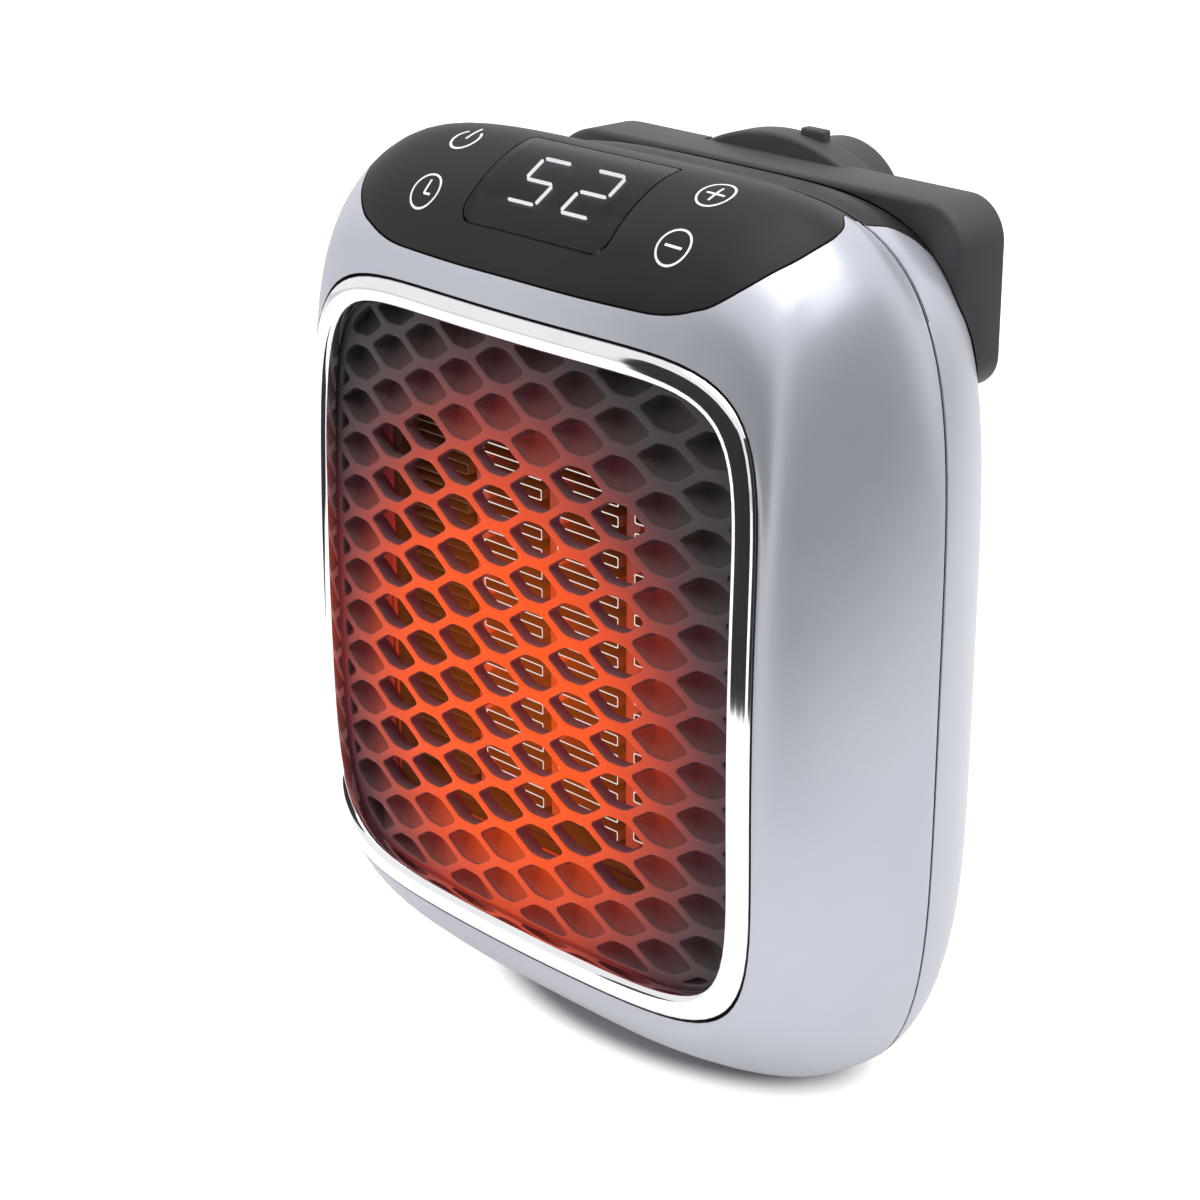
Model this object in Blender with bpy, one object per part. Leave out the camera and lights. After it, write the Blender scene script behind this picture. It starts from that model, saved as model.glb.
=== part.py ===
"""Compact plug-in fan heater with a swivelling plug, built piece by piece.

Lengths are metres, Z is up and the warm air leaves towards -Y.
While the pieces are made, Y is 0 at the middle of the grille's front and Z is 0
under the housing; the last step centres the whole heater over the origin.
"""
import math

import bmesh
import bpy
from mathutils import Matrix, Vector

# Outlet opening, its ring and its grille
OUTLET_HALF_WIDTH = 0.0475
OUTLET_HALF_RISE = 0.0500
BOW_SIDE = 0.0028
BOW_RISE = 0.0018
GAP = 0.0003
RING_FACE = 0.0043
RING_LEG = 0.0020
RING_SEAT_DEPTH = 0.0026
RING_CROWN = 0.0011
RING_FLANGE = 0.0018
LIP_INSET = 0.0022
LIP_THICKNESS = 0.0020
GRILLE_INSET = 0.0019
GRILLE_FRONT = 0.0026
GRILLE_THICKNESS = 0.0041
GRILLE_FLANGE_INSET = 0.0030
GRILLE_FLANGE = 0.0015
POCKET_DEPTH = 0.0021
SEAT_PLANE = 0.0084
CELL_PITCH = 0.0091
CELL_RISE = 0.00747
CELL_HALF_WIDTH = 0.0057
CELL_FLAT = 0.0020
CELL_HALF_HEIGHT = 0.0027

# Heating element: a square frame that fits inside the outlet both ways
FRAME_MARGIN = 0.0095
FRAME_HALF = min(OUTLET_HALF_WIDTH, OUTLET_HALF_RISE) - FRAME_MARGIN
SEAT_CLEARANCE = 0.0004
SEAT_HALF = FRAME_HALF + SEAT_CLEARANCE
FRAME_WALL = 0.0037
FRAME_BORE = FRAME_HALF - FRAME_WALL
FLOW_LEFT_INSET = 0.0040
FLOW_RIGHT_INSET = 0.0105
FLOW_LOW_INSET = 0.0035
FLOW_HIGH_INSET = 0.0060
FLOW_LEFT = FRAME_HALF - FLOW_LEFT_INSET
FLOW_RIGHT = FRAME_HALF - FLOW_RIGHT_INSET
FLOW_LOW = FRAME_HALF - FLOW_LOW_INSET
FLOW_HIGH = FRAME_HALF - FLOW_HIGH_INSET
FRAME_FRONT = SEAT_PLANE + GAP
FRAME_DEPTH = 0.0165
FRAME_BACK = FRAME_FRONT + FRAME_DEPTH
FRAME_POWER = 24.0
BORE_POWER = 30.0
FIN_SETBACK = 0.0018
FIN_FRONT = FRAME_FRONT + FIN_SETBACK
FIN_DEPTH = 0.0130
FIN_END_ROOM = 0.0023
FIN_HALF_RISE = FRAME_BORE - FIN_END_ROOM
FIN_SHEET = 0.0008
FIN_FOLDS = 20
FIN_PACKS = 4
BAR_THICKNESS = 0.0030
BAR_DEPTH = 0.0100
BAR_OVERHANG = 0.0015
CUTOUT_RADIUS = 0.0050
CUTOUT_HEIGHT = 0.0040
CUTOUT_SIDE = 0.0150
FUSE_RADIUS = 0.0016
FUSE_LENGTH = 0.0100

# Air path and fan, behind the element
DUCT_START = FRAME_BACK + GAP
DUCT_FLANGE_REACH = 0.0080
DUCT_FLANGE_HALF = FRAME_HALF + DUCT_FLANGE_REACH
DUCT_FLANGE = 0.0018
DUCT_WALL = 0.0020
DUCT_POWER = 12.0
CIRCLE_POWER = 2.0
DUCT_TAPER = 0.0100
DUCT_RING_START = DUCT_START + DUCT_TAPER
DUCT_RING_LENGTH = 0.0145
DUCT_RING_END = DUCT_RING_START + DUCT_RING_LENGTH
DUCT_POST_MARGIN = 0.0035
DUCT_POST_REACH = FRAME_HALF + DUCT_POST_MARGIN
DUCT_POST_RADIUS = 0.0028
DUCT_SCREW_LENGTH = 0.0080
FAN_BORE_STEP = 0.0003
FAN_BORE = FRAME_BORE - FAN_BORE_STEP
FAN_TIP_ROOM = 0.0015
FAN_RADIUS = FAN_BORE - FAN_TIP_ROOM
FAN_HUB_SHARE = 0.3385
FAN_HUB_RADIUS = FAN_RADIUS * FAN_HUB_SHARE
FAN_SETBACK = 0.0015
FAN_START = DUCT_RING_START + FAN_SETBACK
FAN_DEPTH = 0.0095
FAN_BLADES = 7
BLADE_THICKNESS = 0.0011
BLADE_PITCH = math.radians(34.0)
BLADE_ROOT_SHARE = 0.85
BLADE_CHORD_SHARE = 0.92
SHAFT_RADIUS = 0.0010
MOTOR_SHARE = 0.3692
MOTOR_RADIUS = FAN_RADIUS * MOTOR_SHARE
MOTOR_STANDOFF = 0.0023
MOTOR_START = FAN_START + FAN_DEPTH + MOTOR_STANDOFF
MOTOR_LENGTH = 0.0082
MOTOR_END = MOTOR_START + MOTOR_LENGTH
BRACKET_THICKNESS = 0.0018
BRACKET_ARM = 0.0026
BRACKET_ARMS = 3

# Housing, which follows the outlet's size and the depth of what it holds
SIDE_MARGIN = 0.0101
BASE_MARGIN = 0.0248
CROWN_MARGIN = 0.0282
OUTLET_LIFT = 0.0020
HALF_WIDTH = OUTLET_HALF_WIDTH + SIDE_MARGIN
WAIST_HEIGHT = OUTLET_HALF_RISE + BASE_MARGIN
CROWN_RISE = OUTLET_HALF_RISE + CROWN_MARGIN
CROWN_HEIGHT = WAIST_HEIGHT + CROWN_RISE
OUTLET_HEIGHT = WAIST_HEIGHT + OUTLET_LIFT
ELEMENT_HEIGHT = OUTLET_HEIGHT
SEAM_SETBACK = 0.0030
FRONT_DEPTH = FAN_START + SEAM_SETBACK
MOTOR_END_ROOM = 0.0030
REAR_DEPTH = MOTOR_END + MOTOR_END_ROOM - FRONT_DEPTH
HOUSING_DEPTH = FRONT_DEPTH + REAR_DEPTH
WALL = 0.0026
REAR_WALL = 0.0024
SEAM_GAP = 0.00035
TONGUE_INSET = 0.0022
TONGUE_WALL = 0.0012
TONGUE_REACH = 0.0020
REBATE_INSET = 0.0019
REBATE_DEPTH = 0.0026

# Touch panel and display, measured along a slope that leans back under the crown
FACET_LEAN = math.radians(32.0)
FACET_DROP = 0.0762
FACET_BASE = CROWN_HEIGHT - FACET_DROP
FACET_LOW = 0.0272
FACET_HIGH = 0.0872
PANEL_INSET = 0.0099
PANEL_HALF_WIDTH = HALF_WIDTH - PANEL_INSET
PANEL_RUN = 0.0346
PANEL_FRONT = 0.0344
PANEL_THICKNESS = 0.0010
PANEL_RECESS = 0.0013
WINDOW_HALF_WIDTH = 0.0164
WINDOW_FRONT = 0.0403
WINDOW_RUN = 0.0195
WINDOW_CORNER = 0.0030
WINDOW_THICKNESS = 0.0010
MODULE_HALF_WIDTH = 0.0142
MODULE_RUN = 0.0130
MODULE_FRONT = 0.0446
MODULE_THICKNESS = 0.0057
MODULE_TOP = 0.0514
DIGIT_HEIGHT = 0.0092
DIGIT_WIDTH = 0.0062
DIGIT_PITCH = 0.0122
DIGIT_SIDE = 0.0012
DIGIT_LIFT = 0.0001
SEGMENT_WIDTH = 0.0009
SEGMENT_LIFT = 0.0004
SEGMENT_END_SHARE = 0.75
TOUCH_BOARD_HALF_WIDTH = 0.0330
TOUCH_BOARD_FRONT = 0.0405
TOUCH_BOARD_RUN = 0.0185
TOUCH_BOARD_TOP = MODULE_TOP - MODULE_THICKNESS - GAP
BOARD_THICKNESS = 0.0016
SPRING_RADIUS = 0.0022
SPRING_REACH = 0.0275
SPRING_TOP = 0.0490
SPRING_NEAR = 0.0447
SPRING_FAR = 0.0535
PANEL_POST_RADIUS = 0.0016
PANEL_POST_REACH = 0.0205
PANEL_POST_TOP = 0.0504

# Case screws and their posts
SCREW_RADIUS = 0.0014
SCREW_HEAD_RADIUS = 0.0026
SCREW_HEAD = 0.0016
SCREW_HOLE = 0.0017
SCREW_TIP_SHARE = 0.60
SCREW_CROWN_SHARE = 0.85
CASE_POST_RADIUS = 0.0036
UPPER_POST_INSET = 0.0226
UPPER_POST_SIDE = HALF_WIDTH - UPPER_POST_INSET
UPPER_POST_DROP = 0.0197
UPPER_POST_HEIGHT = CROWN_HEIGHT - UPPER_POST_DROP
LOWER_POST_INSET = 0.0246
LOWER_POST_SIDE = HALF_WIDTH - LOWER_POST_INSET
LOWER_POST_HEIGHT = 0.0193
UPPER_POST_LENGTH = 0.0120
UPPER_POST_START = FRONT_DEPTH - UPPER_POST_LENGTH
LOWER_POST_LENGTH = 0.0200
LOWER_POST_START = FRONT_DEPTH - LOWER_POST_LENGTH
UPPER_RIB_RISE = 0.0140
LOWER_RIB_LENGTH = 0.0180
LOWER_RIB_START = FRONT_DEPTH - LOWER_RIB_LENGTH
LOWER_RIB_DROP = 0.0110
CASE_SEAT_DEPTH = 0.0038
CASE_HEAD_SEAT = HOUSING_DEPTH - CASE_SEAT_DEPTH
CASE_SCREW_LENGTH = 0.0260
HEAD_RECESS = 0.0029
POST_RIB = 0.0020

# Electronics in the rear housing, between the duct's ring and the crown
BOARD_SETBACK = 0.0076
BOARD_BACK = FRONT_DEPTH + BOARD_SETBACK
BOARD_INSET = 0.0276
BOARD_HALF_WIDTH = HALF_WIDTH - BOARD_INSET
BOARD_CLEARANCE = 0.0015
BOARD_LOW = OUTLET_HEIGHT + FAN_BORE + DUCT_WALL + BOARD_CLEARANCE
BOARD_DROP = 0.0112
BOARD_HIGH = CROWN_HEIGHT - BOARD_DROP
STANDOFF_EDGE = 0.0038
STANDOFF_SIDE = BOARD_HALF_WIDTH - STANDOFF_EDGE
STANDOFF_RADIUS = 0.0024
STANDOFF_INSET = 0.0040
RELAY_SIZE = (0.0150, 0.0120, 0.0115)
RELAY_SIDE = 0.0170
CAPACITOR_SIZE = (0.0170, 0.0080, 0.0120)
CAPACITOR_SIDE = 0.0060
COIL_RADIUS = 0.0060
COIL_LENGTH = 0.0100
COIL_SIDE = 0.0185
CAN_RADIUS = 0.0040
CAN_LENGTH = 0.0120
CAN_SIDE = 0.0040
PARTS_LOW_RISE = 0.0085
PARTS_LOW = BOARD_LOW + PARTS_LOW_RISE
PARTS_HIGH_RISE = 0.0210
PARTS_HIGH = BOARD_LOW + PARTS_HIGH_RISE

# Rear saddle, swivel and plug
CAP_FRONT_INSET = 0.0198
CAP_FRONT_SIDE = HALF_WIDTH - CAP_FRONT_INSET
CAP_MIDDLE_INSET = 0.0191
CAP_MIDDLE_SIDE = HALF_WIDTH - CAP_MIDDLE_INSET
CAP_REAR_INSET = 0.0161
CAP_REAR_SIDE = HALF_WIDTH - CAP_REAR_INSET
CAP_THICKNESS = 0.0010
CAP_RECESS = 0.0013
CAP_LENGTH = 0.0118
CAP_END = FRONT_DEPTH + CAP_LENGTH
SADDLE_INSET = 0.0103
SADDLE_HALF_WIDTH = HALF_WIDTH - SADDLE_INSET
SADDLE_LOW_DROP = 0.0360
SADDLE_LOW = CROWN_HEIGHT - SADDLE_LOW_DROP
SADDLE_HIGH_DROP = 0.0055
SADDLE_HIGH = CROWN_HEIGHT - SADDLE_HIGH_DROP
SADDLE_SETBACK = 0.0121
SADDLE_START = FRONT_DEPTH + SADDLE_SETBACK
SADDLE_PROUD = 0.0030
SADDLE_END = HOUSING_DEPTH + SADDLE_PROUD
SADDLE_CORNER = 0.0055
SWIVEL_DROP = 0.0382
SWIVEL_HEIGHT = CROWN_HEIGHT - SWIVEL_DROP
SWIVEL_RADIUS = 0.0360
SWIVEL_START = HOUSING_DEPTH + GAP
SWIVEL_THICKNESS = 0.0057
SWIVEL_END = SWIVEL_START + SWIVEL_THICKNESS
SWIVEL_EDGE = 0.0008
SLEEVE_RADIUS = 0.0140
SLEEVE_BORE = 0.0105
SLEEVE_DEPTH = 0.0054
SLEEVE_END = HOUSING_DEPTH - SLEEVE_DEPTH
GROOVE_FAR = 0.0045
GROOVE_START = HOUSING_DEPTH - GROOVE_FAR
GROOVE_NEAR = 0.0026
GROOVE_END = HOUSING_DEPTH - GROOVE_NEAR
GROOVE_RADIUS = 0.0130
RETAINER_RADIUS = 0.0185
TAB_WIDTH = 0.0050
TAB_SIDE = 0.0055
TAB_RISE = 0.0016
PLUG_HALF_WIDTH = 0.0129
PLUG_HALF_LENGTH = 0.0330
PLUG_START = SWIVEL_END + GAP
PLUG_LENGTH = 0.0137
PLUG_END = PLUG_START + PLUG_LENGTH
PLUG_EDGE = 0.0016
PLUG_EDGE_SHARE = 0.30
BLADE_SPACING = 0.0127
PIN_WIDTH = 0.0063
PIN_THICKNESS = 0.0015
PIN_LENGTH = 0.0170
PIN_ROOT = 0.0175
PIN_TIP = 0.0020

# Air intake
SLOT_ROWS = 9
SLOT_PITCH = 0.0056
SLOT_HALF_HEIGHT = 0.0014
SLOT_LONG_INSET = 0.0226
SLOT_LONG = HALF_WIDTH - SLOT_LONG_INSET
SLOT_SHORT_INSET = 0.0326
SLOT_SHORT = HALF_WIDTH - SLOT_SHORT_INSET
SLOT_TOP_DROP = 0.0065
SLOT_RIB = 0.0016

# Wires
WIRE_RADIUS = 0.0009
SUPPLY_END_SIDE = 0.0120
SUPPLY_END_RISE = 0.0110
ELEMENT_LEAD_SIDE = 0.0275
ELEMENT_LEAD_RISE = 0.0085
MOTOR_LEAD_SIDE = 0.0040
MOTOR_END_SIDE = 0.0215
MOTOR_END_RISE = 0.0050

# Front rows: depth and bow shares; width, rise and drop as shares of the margin
# from the ring's seat out to the housing's full size; then two corner powers
FRONT_SHARES = (
    (0.0125, 1.00, 0.0731, 0.2267, 0.1081, 6.00, 5.40),
    (0.0750, 0.60, 0.2177, 0.3889, 0.2298, 6.20, 4.70),
    (0.1575, 0.35, 0.4544, 0.5833, 0.3514, 6.30, 4.30),
    (0.2600, 0.20, 0.6733, 0.7545, 0.5044, 6.30, 4.15),
    (0.4000, 0.00, 0.8366, 0.9026, 0.6533, 6.20, 4.25),
    (0.5500, 0.00, 0.9455, 1.0000, 0.7972, 6.00, 4.60),
    (0.7250, 0.00, 1.0000, 0.9721, 0.9100, 5.60, 4.95),
    (0.8875, 0.00, 0.9634, 0.8704, 0.9683, 4.90, 5.00),
    (1.0000, 0.00, 0.8911, 0.8056, 1.0000, 4.30, 5.00),
)
# How much of the wall's offset each front row takes in depth
FRONT_LEAN_SHARES = (1.00, 0.90, 0.60, 0.35, 0.25, 0.10, 0.00, 0.00, 0.00)
# Rear rows: depth, then width, rise and drop as shares of the seam's, then powers
REAR_SHARES = (
    (0.000, 1.0000, 1.0000, 1.0000, 4.30, 5.00),
    (0.200, 0.9860, 0.9986, 0.9973, 4.20, 5.00),
    (0.400, 0.9649, 0.9892, 0.9813, 4.20, 5.00),
    (0.600, 0.9333, 0.9716, 0.9519, 4.20, 5.00),
    (0.750, 0.9018, 0.9514, 0.9198, 4.20, 5.00),
    (0.875, 0.8666, 0.9216, 0.8850, 4.20, 5.00),
    (0.965, 0.8158, 0.8824, 0.8449, 4.20, 5.00),
    (1.000, 0.7456, 0.8310, 0.7955, 4.20, 5.00),
)
REAR_LEAN_SHARES = (0.00, 0.00, 0.00, 0.20, 0.40, 0.70, 1.00, 1.00)
REAR_INSET_SHARES = (1.00, 1.00, 1.00, 1.00, 0.95, 0.80, 0.60, 0.40)
# Touch panel outline along the slope: side share, run share
PANEL_SHARES = (
    (0.00, 0.000), (0.28, 0.004), (0.52, 0.020), (0.63, 0.034), (0.715, 0.060),
    (0.785, 0.095), (0.835, 0.130), (0.905, 0.225), (0.960, 0.350), (0.990, 0.455),
    (1.000, 0.570), (0.990, 0.680), (0.945, 0.790), (0.870, 0.885), (0.785, 1.000),
)
# Section of the ring's rounded face: outward share, crown share
RING_SHARES = ((0.00, 0.00), (0.10, 0.60), (0.34, 1.00), (0.66, 0.92), (0.90, 0.50), (1.00, -0.20))
# Bends of the leads, as shares of the way across, back and up
SUPPLY_SHARES = ((0.0, 0.66, 0.0), (0.15, 0.71, 0.14), (0.70, 0.76, 0.55), (1.0, 0.86, 0.90),
                 (1.0, 0.92, 1.0))
ELEMENT_SHARES = ((0.55, 0.02, 0.10), (0.95, 0.12, 0.50), (1.0, 0.20, 1.15), (1.0, 0.28, 1.28),
                  (1.0, 0.42, 1.28), (1.0, 0.55, 1.15), (1.0, 0.85, 1.0))
MOTOR_SHARES = ((0.02, 0.22, 0.10), (0.20, 0.27, 0.34), (0.55, 0.28, 0.62), (0.85, 0.32, 0.84),
                (1.0, 0.50, 0.96), (1.0, 0.75, 1.0))
LEAD_SHARE = 0.5
INNER_ROWS = (2, 4, 6, 7)
REAR_INNER_ROWS = (1, 3, 5, 6, 7)
OUTLET_POWER = 7.1
PLATE_POWER = 7.0
RING_POWER = 6.3
LOOP_SHARES = (0.0, 0.34, 0.62, 0.81, 0.93, 1.0)
SMOOTH_LIMIT = math.radians(32.0)
QUARTER_TURN = math.radians(90.0)
CORNER_STEPS = 4
ROUND_STEPS = 20
SMALL_STEPS = 10
POST_STEPS = 12
SCREW_STEPS = 8
RING_STEPS = 32
WELD = 0.00001

PARTS = bpy.data.collections.new("fan_heater")
CUTTERS = bpy.data.collections.new("cutters")


def material(name, colour, metallic, roughness):
    """One plain Principled material."""
    made = bpy.data.materials.new(name)
    made.use_nodes = True
    shader = made.node_tree.nodes["Principled BSDF"]
    shader.inputs["Base Color"].default_value = (*colour, 1.0)
    shader.inputs["Metallic"].default_value = metallic
    shader.inputs["Roughness"].default_value = roughness
    made.diffuse_color = (*colour, 1.0)
    return made


def place(mesh, name, collection):
    """Put a mesh in the scene under its own name."""
    body = bpy.data.objects.new(name, mesh)
    collection.objects.link(body)
    return body


def cutter(mesh, name):
    """A hidden wire-drawn body that only cuts or joins others."""
    body = place(mesh, name, CUTTERS)
    body.hide_render = True
    body.display_type = "WIRE"
    return body


def piece(mesh, name, colour, metallic=0.0, roughness=0.5):
    """A named sub-part with its own material, smooth where it is round."""
    for face in mesh.polygons:
        face.use_smooth = True
    mesh.set_sharp_from_angle(angle=SMOOTH_LIMIT)
    body = place(mesh, name, PARTS)
    body.data.materials.append(material(name, colour, metallic, roughness))
    return body


def combine(body, other, operation):
    """Add, cut or intersect with an exact Boolean."""
    step = body.modifiers.new(operation.lower() + "_" + other.name, "BOOLEAN")
    step.operation = operation
    step.solver = "EXACT"
    step.object = other
    return body


def mesh_of(work, name):
    """Turn a bmesh into a mesh with its faces pointing out."""
    bmesh.ops.recalc_face_normals(work, faces=work.faces)
    mesh = bpy.data.meshes.new(name)
    work.to_mesh(mesh)
    work.free()
    return mesh


def frozen(body, name):
    """A plain mesh of a body with its modifiers worked out."""
    bpy.context.view_layer.update()
    view = bpy.context.evaluated_depsgraph_get()
    mesh = bpy.data.meshes.new_from_object(body.evaluated_get(view))
    mesh.name = name
    return mesh


def cuboid(low, high, name="block"):
    """A box between two corners."""
    work = bmesh.new()
    bmesh.ops.create_cube(work, size=1.0)
    low, high = Vector(low), Vector(high)
    size = high - low
    bmesh.ops.scale(work, vec=size, verts=work.verts)
    bmesh.ops.translate(work, vec=(low + high) / 2, verts=work.verts)
    return mesh_of(work, name)


def add_rod(work, start, end, radius, steps=ROUND_STEPS, tip_radius=None):
    """A capped cylinder or cone between two points, inside a bmesh."""
    start, end = Vector(start), Vector(end)
    run = end - start
    turn = Vector((0, 0, 1)).rotation_difference(run.normalized()).to_matrix().to_4x4()
    spot = Matrix.Translation((start + end) / 2) @ turn
    tip = radius if tip_radius is None else tip_radius
    bmesh.ops.create_cone(work, cap_ends=True, segments=steps, radius1=radius,
                          radius2=tip, depth=run.length, matrix=spot)


def rods(rows, name="rods"):
    """Several separate cylinders in one mesh: start, end, radius, steps."""
    work = bmesh.new()
    for start, end, radius, steps in rows:
        add_rod(work, start, end, radius, steps)
    return mesh_of(work, name)


def flat_shape(outlines, depth, name="outline", turn=None, shift=(0, 0, 0)):
    """Closed outlines in the XY plane, thickened evenly up Z, then turned and moved."""
    curve = bpy.data.curves.new(name, "CURVE")
    curve.dimensions = "2D"
    curve.fill_mode = "BOTH"
    curve.extrude = depth / 2
    for outline in outlines:
        spline = curve.splines.new("POLY")
        spline.points.add(len(outline) - 1)
        for point, (x, y) in zip(spline.points, outline):
            point.co = (x, y, 0, 1)
        spline.use_cyclic_u = True
    drawn = bpy.data.objects.new(name, curve)
    CUTTERS.objects.link(drawn)
    mesh = frozen(drawn, name)
    bpy.data.objects.remove(drawn)
    bpy.data.curves.remove(curve)
    work = bmesh.new()
    work.from_mesh(mesh)
    bpy.data.meshes.remove(mesh)
    bmesh.ops.remove_doubles(work, verts=work.verts, dist=WELD)
    bmesh.ops.translate(work, vec=(0, 0, depth / 2), verts=work.verts)
    if turn is not None:
        bmesh.ops.transform(work, matrix=turn, verts=work.verts)
    bmesh.ops.translate(work, vec=Vector(shift), verts=work.verts)
    return mesh_of(work, name)


# Turns a drawing's x, y and thickness into X, Z and -Y
UPRIGHT = Matrix.Rotation(QUARTER_TURN, 4, "X")


def upright(outlines, start, end, name="upright", centre=(0, 0)):
    """Outlines drawn in X and Z, reaching from one depth to another."""
    shift = (centre[0], end, centre[1])
    return flat_shape(outlines, end - start, name, UPRIGHT, shift)


def on_slope(x, run, lift):
    """A point given across, along and square to the sloping facet."""
    lean = Matrix.Rotation(FACET_LEAN, 4, "X")
    return lean @ Vector((x, run, lift)) + Vector((0, 0, FACET_BASE))


def sloped(outlines, low, high, name="sloped"):
    """Outlines drawn along the facet, thickened square to it."""
    lean = Matrix.Rotation(FACET_LEAN, 4, "X")
    turn = lean @ Matrix.Translation((0, 0, low))
    return flat_shape(outlines, high - low, name, turn, (0, 0, FACET_BASE))


def corner_shares(power):
    """Points round a rounded outline as shares of its half sizes, anticlockwise."""
    top_share = 2.0 ** (-1.0 / power)
    octant = []
    for step in LOOP_SHARES:
        rise = top_share * step
        octant.append(((1.0 - rise ** power) ** (1.0 / power), rise))
    quarter = octant + [(y, x) for x, y in reversed(octant[:-1])]
    return quarter


def outline_shares(power_top, power_bottom):
    """The whole outline: sharper or softer corners above and below its waist."""
    top = corner_shares(power_top)
    bottom = corner_shares(power_bottom)
    points = list(top)
    points += [(-x, y) for x, y in reversed(top[:-1])]
    points += [(-x, -y) for x, y in bottom[1:]]
    points += [(x, -y) for x, y in reversed(bottom[1:-1])]
    return points


def bow(x, z):
    """How far the gently bowed face falls back at a place."""
    side = BOW_SIDE * (x / OUTLET_HALF_WIDTH) ** 2
    rise = BOW_RISE * ((z - OUTLET_HEIGHT) / OUTLET_HALF_RISE) ** 2
    return side + rise


def shell_loop(sizes, powers, depth, bow_share, inset):
    """One closed loop of the housing's skin about the waist, pulled in by an inset."""
    half, up, down = (size - inset for size in sizes)
    loop = []
    for x_share, z_share in outline_shares(*powers):
        x = half * x_share
        z = WAIST_HEIGHT + (up if z_share > 0 else down) * z_share
        loop.append(Vector((x, depth + bow_share * bow(x, z), z)))
    return loop


def front_sizes(index):
    """Half width, rise and drop of a front loop, out from the edge of the ring's seat."""
    seat = RING_FACE + GAP
    edges = (OUTLET_HALF_WIDTH + seat, OUTLET_HALF_RISE + seat + OUTLET_LIFT,
             OUTLET_HALF_RISE + seat - OUTLET_LIFT)
    full = (HALF_WIDTH, CROWN_RISE, WAIST_HEIGHT)
    shares = FRONT_SHARES[index][2:5]
    return [edge + (size - edge) * share for edge, size, share in zip(edges, full, shares)]


def front_loop(index, inset=0.0):
    """A loop of the front housing, or of its inner face."""
    depth_share, bow_share = FRONT_SHARES[index][:2]
    depth = FRONT_DEPTH * depth_share + inset * FRONT_LEAN_SHARES[index]
    return shell_loop(front_sizes(index), FRONT_SHARES[index][5:], depth, bow_share, inset)


def rear_loop(index, inset=0.0):
    """A loop of the rear housing, or of its inner face, as shares of the seam's size."""
    seam = front_sizes(len(FRONT_SHARES) - 1)
    sizes = [size * share for size, share in zip(seam, REAR_SHARES[index][1:4])]
    depth = FRONT_DEPTH + REAR_DEPTH * REAR_SHARES[index][0] - inset * REAR_LEAN_SHARES[index]
    side = inset * REAR_INSET_SHARES[index]
    return shell_loop(sizes, REAR_SHARES[index][4:], depth, 0.0, side)


def outlet_loop(outset, depth, power):
    """A loop round the outlet, following the bowed face."""
    loop = []
    for x_share, z_share in outline_shares(power, power):
        x = (OUTLET_HALF_WIDTH + outset) * x_share
        z = OUTLET_HEIGHT + (OUTLET_HALF_RISE + outset) * z_share
        loop.append(Vector((x, depth + bow(x, z), z)))
    return loop


def round_loop(half, rise, depth, power, height):
    """A flat loop of any squareness, at one depth."""
    return [Vector((half * x, depth, height + rise * z)) for x, z in outline_shares(power, power)]


def circle_loop(radius, depth, height=0.0):
    """A circle that faces along Y."""
    loop = []
    for step in range(RING_STEPS):
        angle = 2 * math.pi * step / RING_STEPS
        loop.append(Vector((radius * math.cos(angle), depth, height + radius * math.sin(angle))))
    return loop


def skin(loops, closed, name="skin"):
    """Faces between loops: a closed tube of loops, or an open run with both ends filled."""
    work = bmesh.new()
    rings = [[work.verts.new(point) for point in loop] for loop in loops]
    count = len(rings[0])
    pairs = list(zip(rings, rings[1:]))
    if closed:
        pairs.append((rings[-1], rings[0]))
    for near, far in pairs:
        for index in range(count):
            after = (index + 1) % count
            work.faces.new((near[index], near[after], far[after], far[index]))
    if not closed:
        work.faces.new(rings[0])
        work.faces.new(rings[-1])
    return mesh_of(work, name)


def band(outer, inner, loop_of, count, name):
    """A skin between two offsets of the housing, for the panels let into it."""
    faces = []
    for inset in (outer, inner):
        loops = [loop_of(row, inset) for row in range(count)]
        ahead = [near + (near - far) * LEAD_SHARE for near, far in zip(loops[0], loops[1])]
        faces.append([ahead] + loops)
    return skin(faces[0] + faces[1][::-1], True, name)


def panel_outline(grow, rear_grow=0.0):
    """The touch panel's outline along the slope, both sides."""
    half = []
    for side_share, run_share in PANEL_SHARES:
        x = (PANEL_HALF_WIDTH * side_share) + grow * side_share
        run = PANEL_FRONT + PANEL_RUN * run_share - grow * (1.0 - run_share)
        half.append((x, run))
    side, run = half[-1]
    half.append((side - rear_grow / 2, run + rear_grow))
    left = [(-x, run) for x, run in reversed(half[1:])]
    return [half + left]


def window_outline(grow):
    """The display window: rounded at the front, square at the back."""
    half = WINDOW_HALF_WIDTH + grow
    front = WINDOW_FRONT - grow
    back = WINDOW_FRONT + WINDOW_RUN + grow
    points = []
    for turn in range(CORNER_STEPS + 1):
        angle = QUARTER_TURN * turn / CORNER_STEPS
        x = half - WINDOW_CORNER * (1.0 - math.sin(angle))
        run = front + WINDOW_CORNER * (1.0 - math.cos(angle))
        points.append((x, run))
    right = points + [(half, back)]
    left = [(-x, run) for x, run in reversed(right)]
    return [right + left]


def corner_spots():
    """Where the four duct screws stand, in X and Z."""
    spots = []
    for side in (-1, 1):
        for level in (-1, 1):
            spots.append((side * DUCT_POST_REACH, OUTLET_HEIGHT + level * DUCT_POST_REACH))
    return spots


def case_post_spots():
    """Where the four case screws stand, in X and Z, upper pair first."""
    return ((-UPPER_POST_SIDE, UPPER_POST_HEIGHT), (UPPER_POST_SIDE, UPPER_POST_HEIGHT),
            (-LOWER_POST_SIDE, LOWER_POST_HEIGHT), (LOWER_POST_SIDE, LOWER_POST_HEIGHT))


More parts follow.
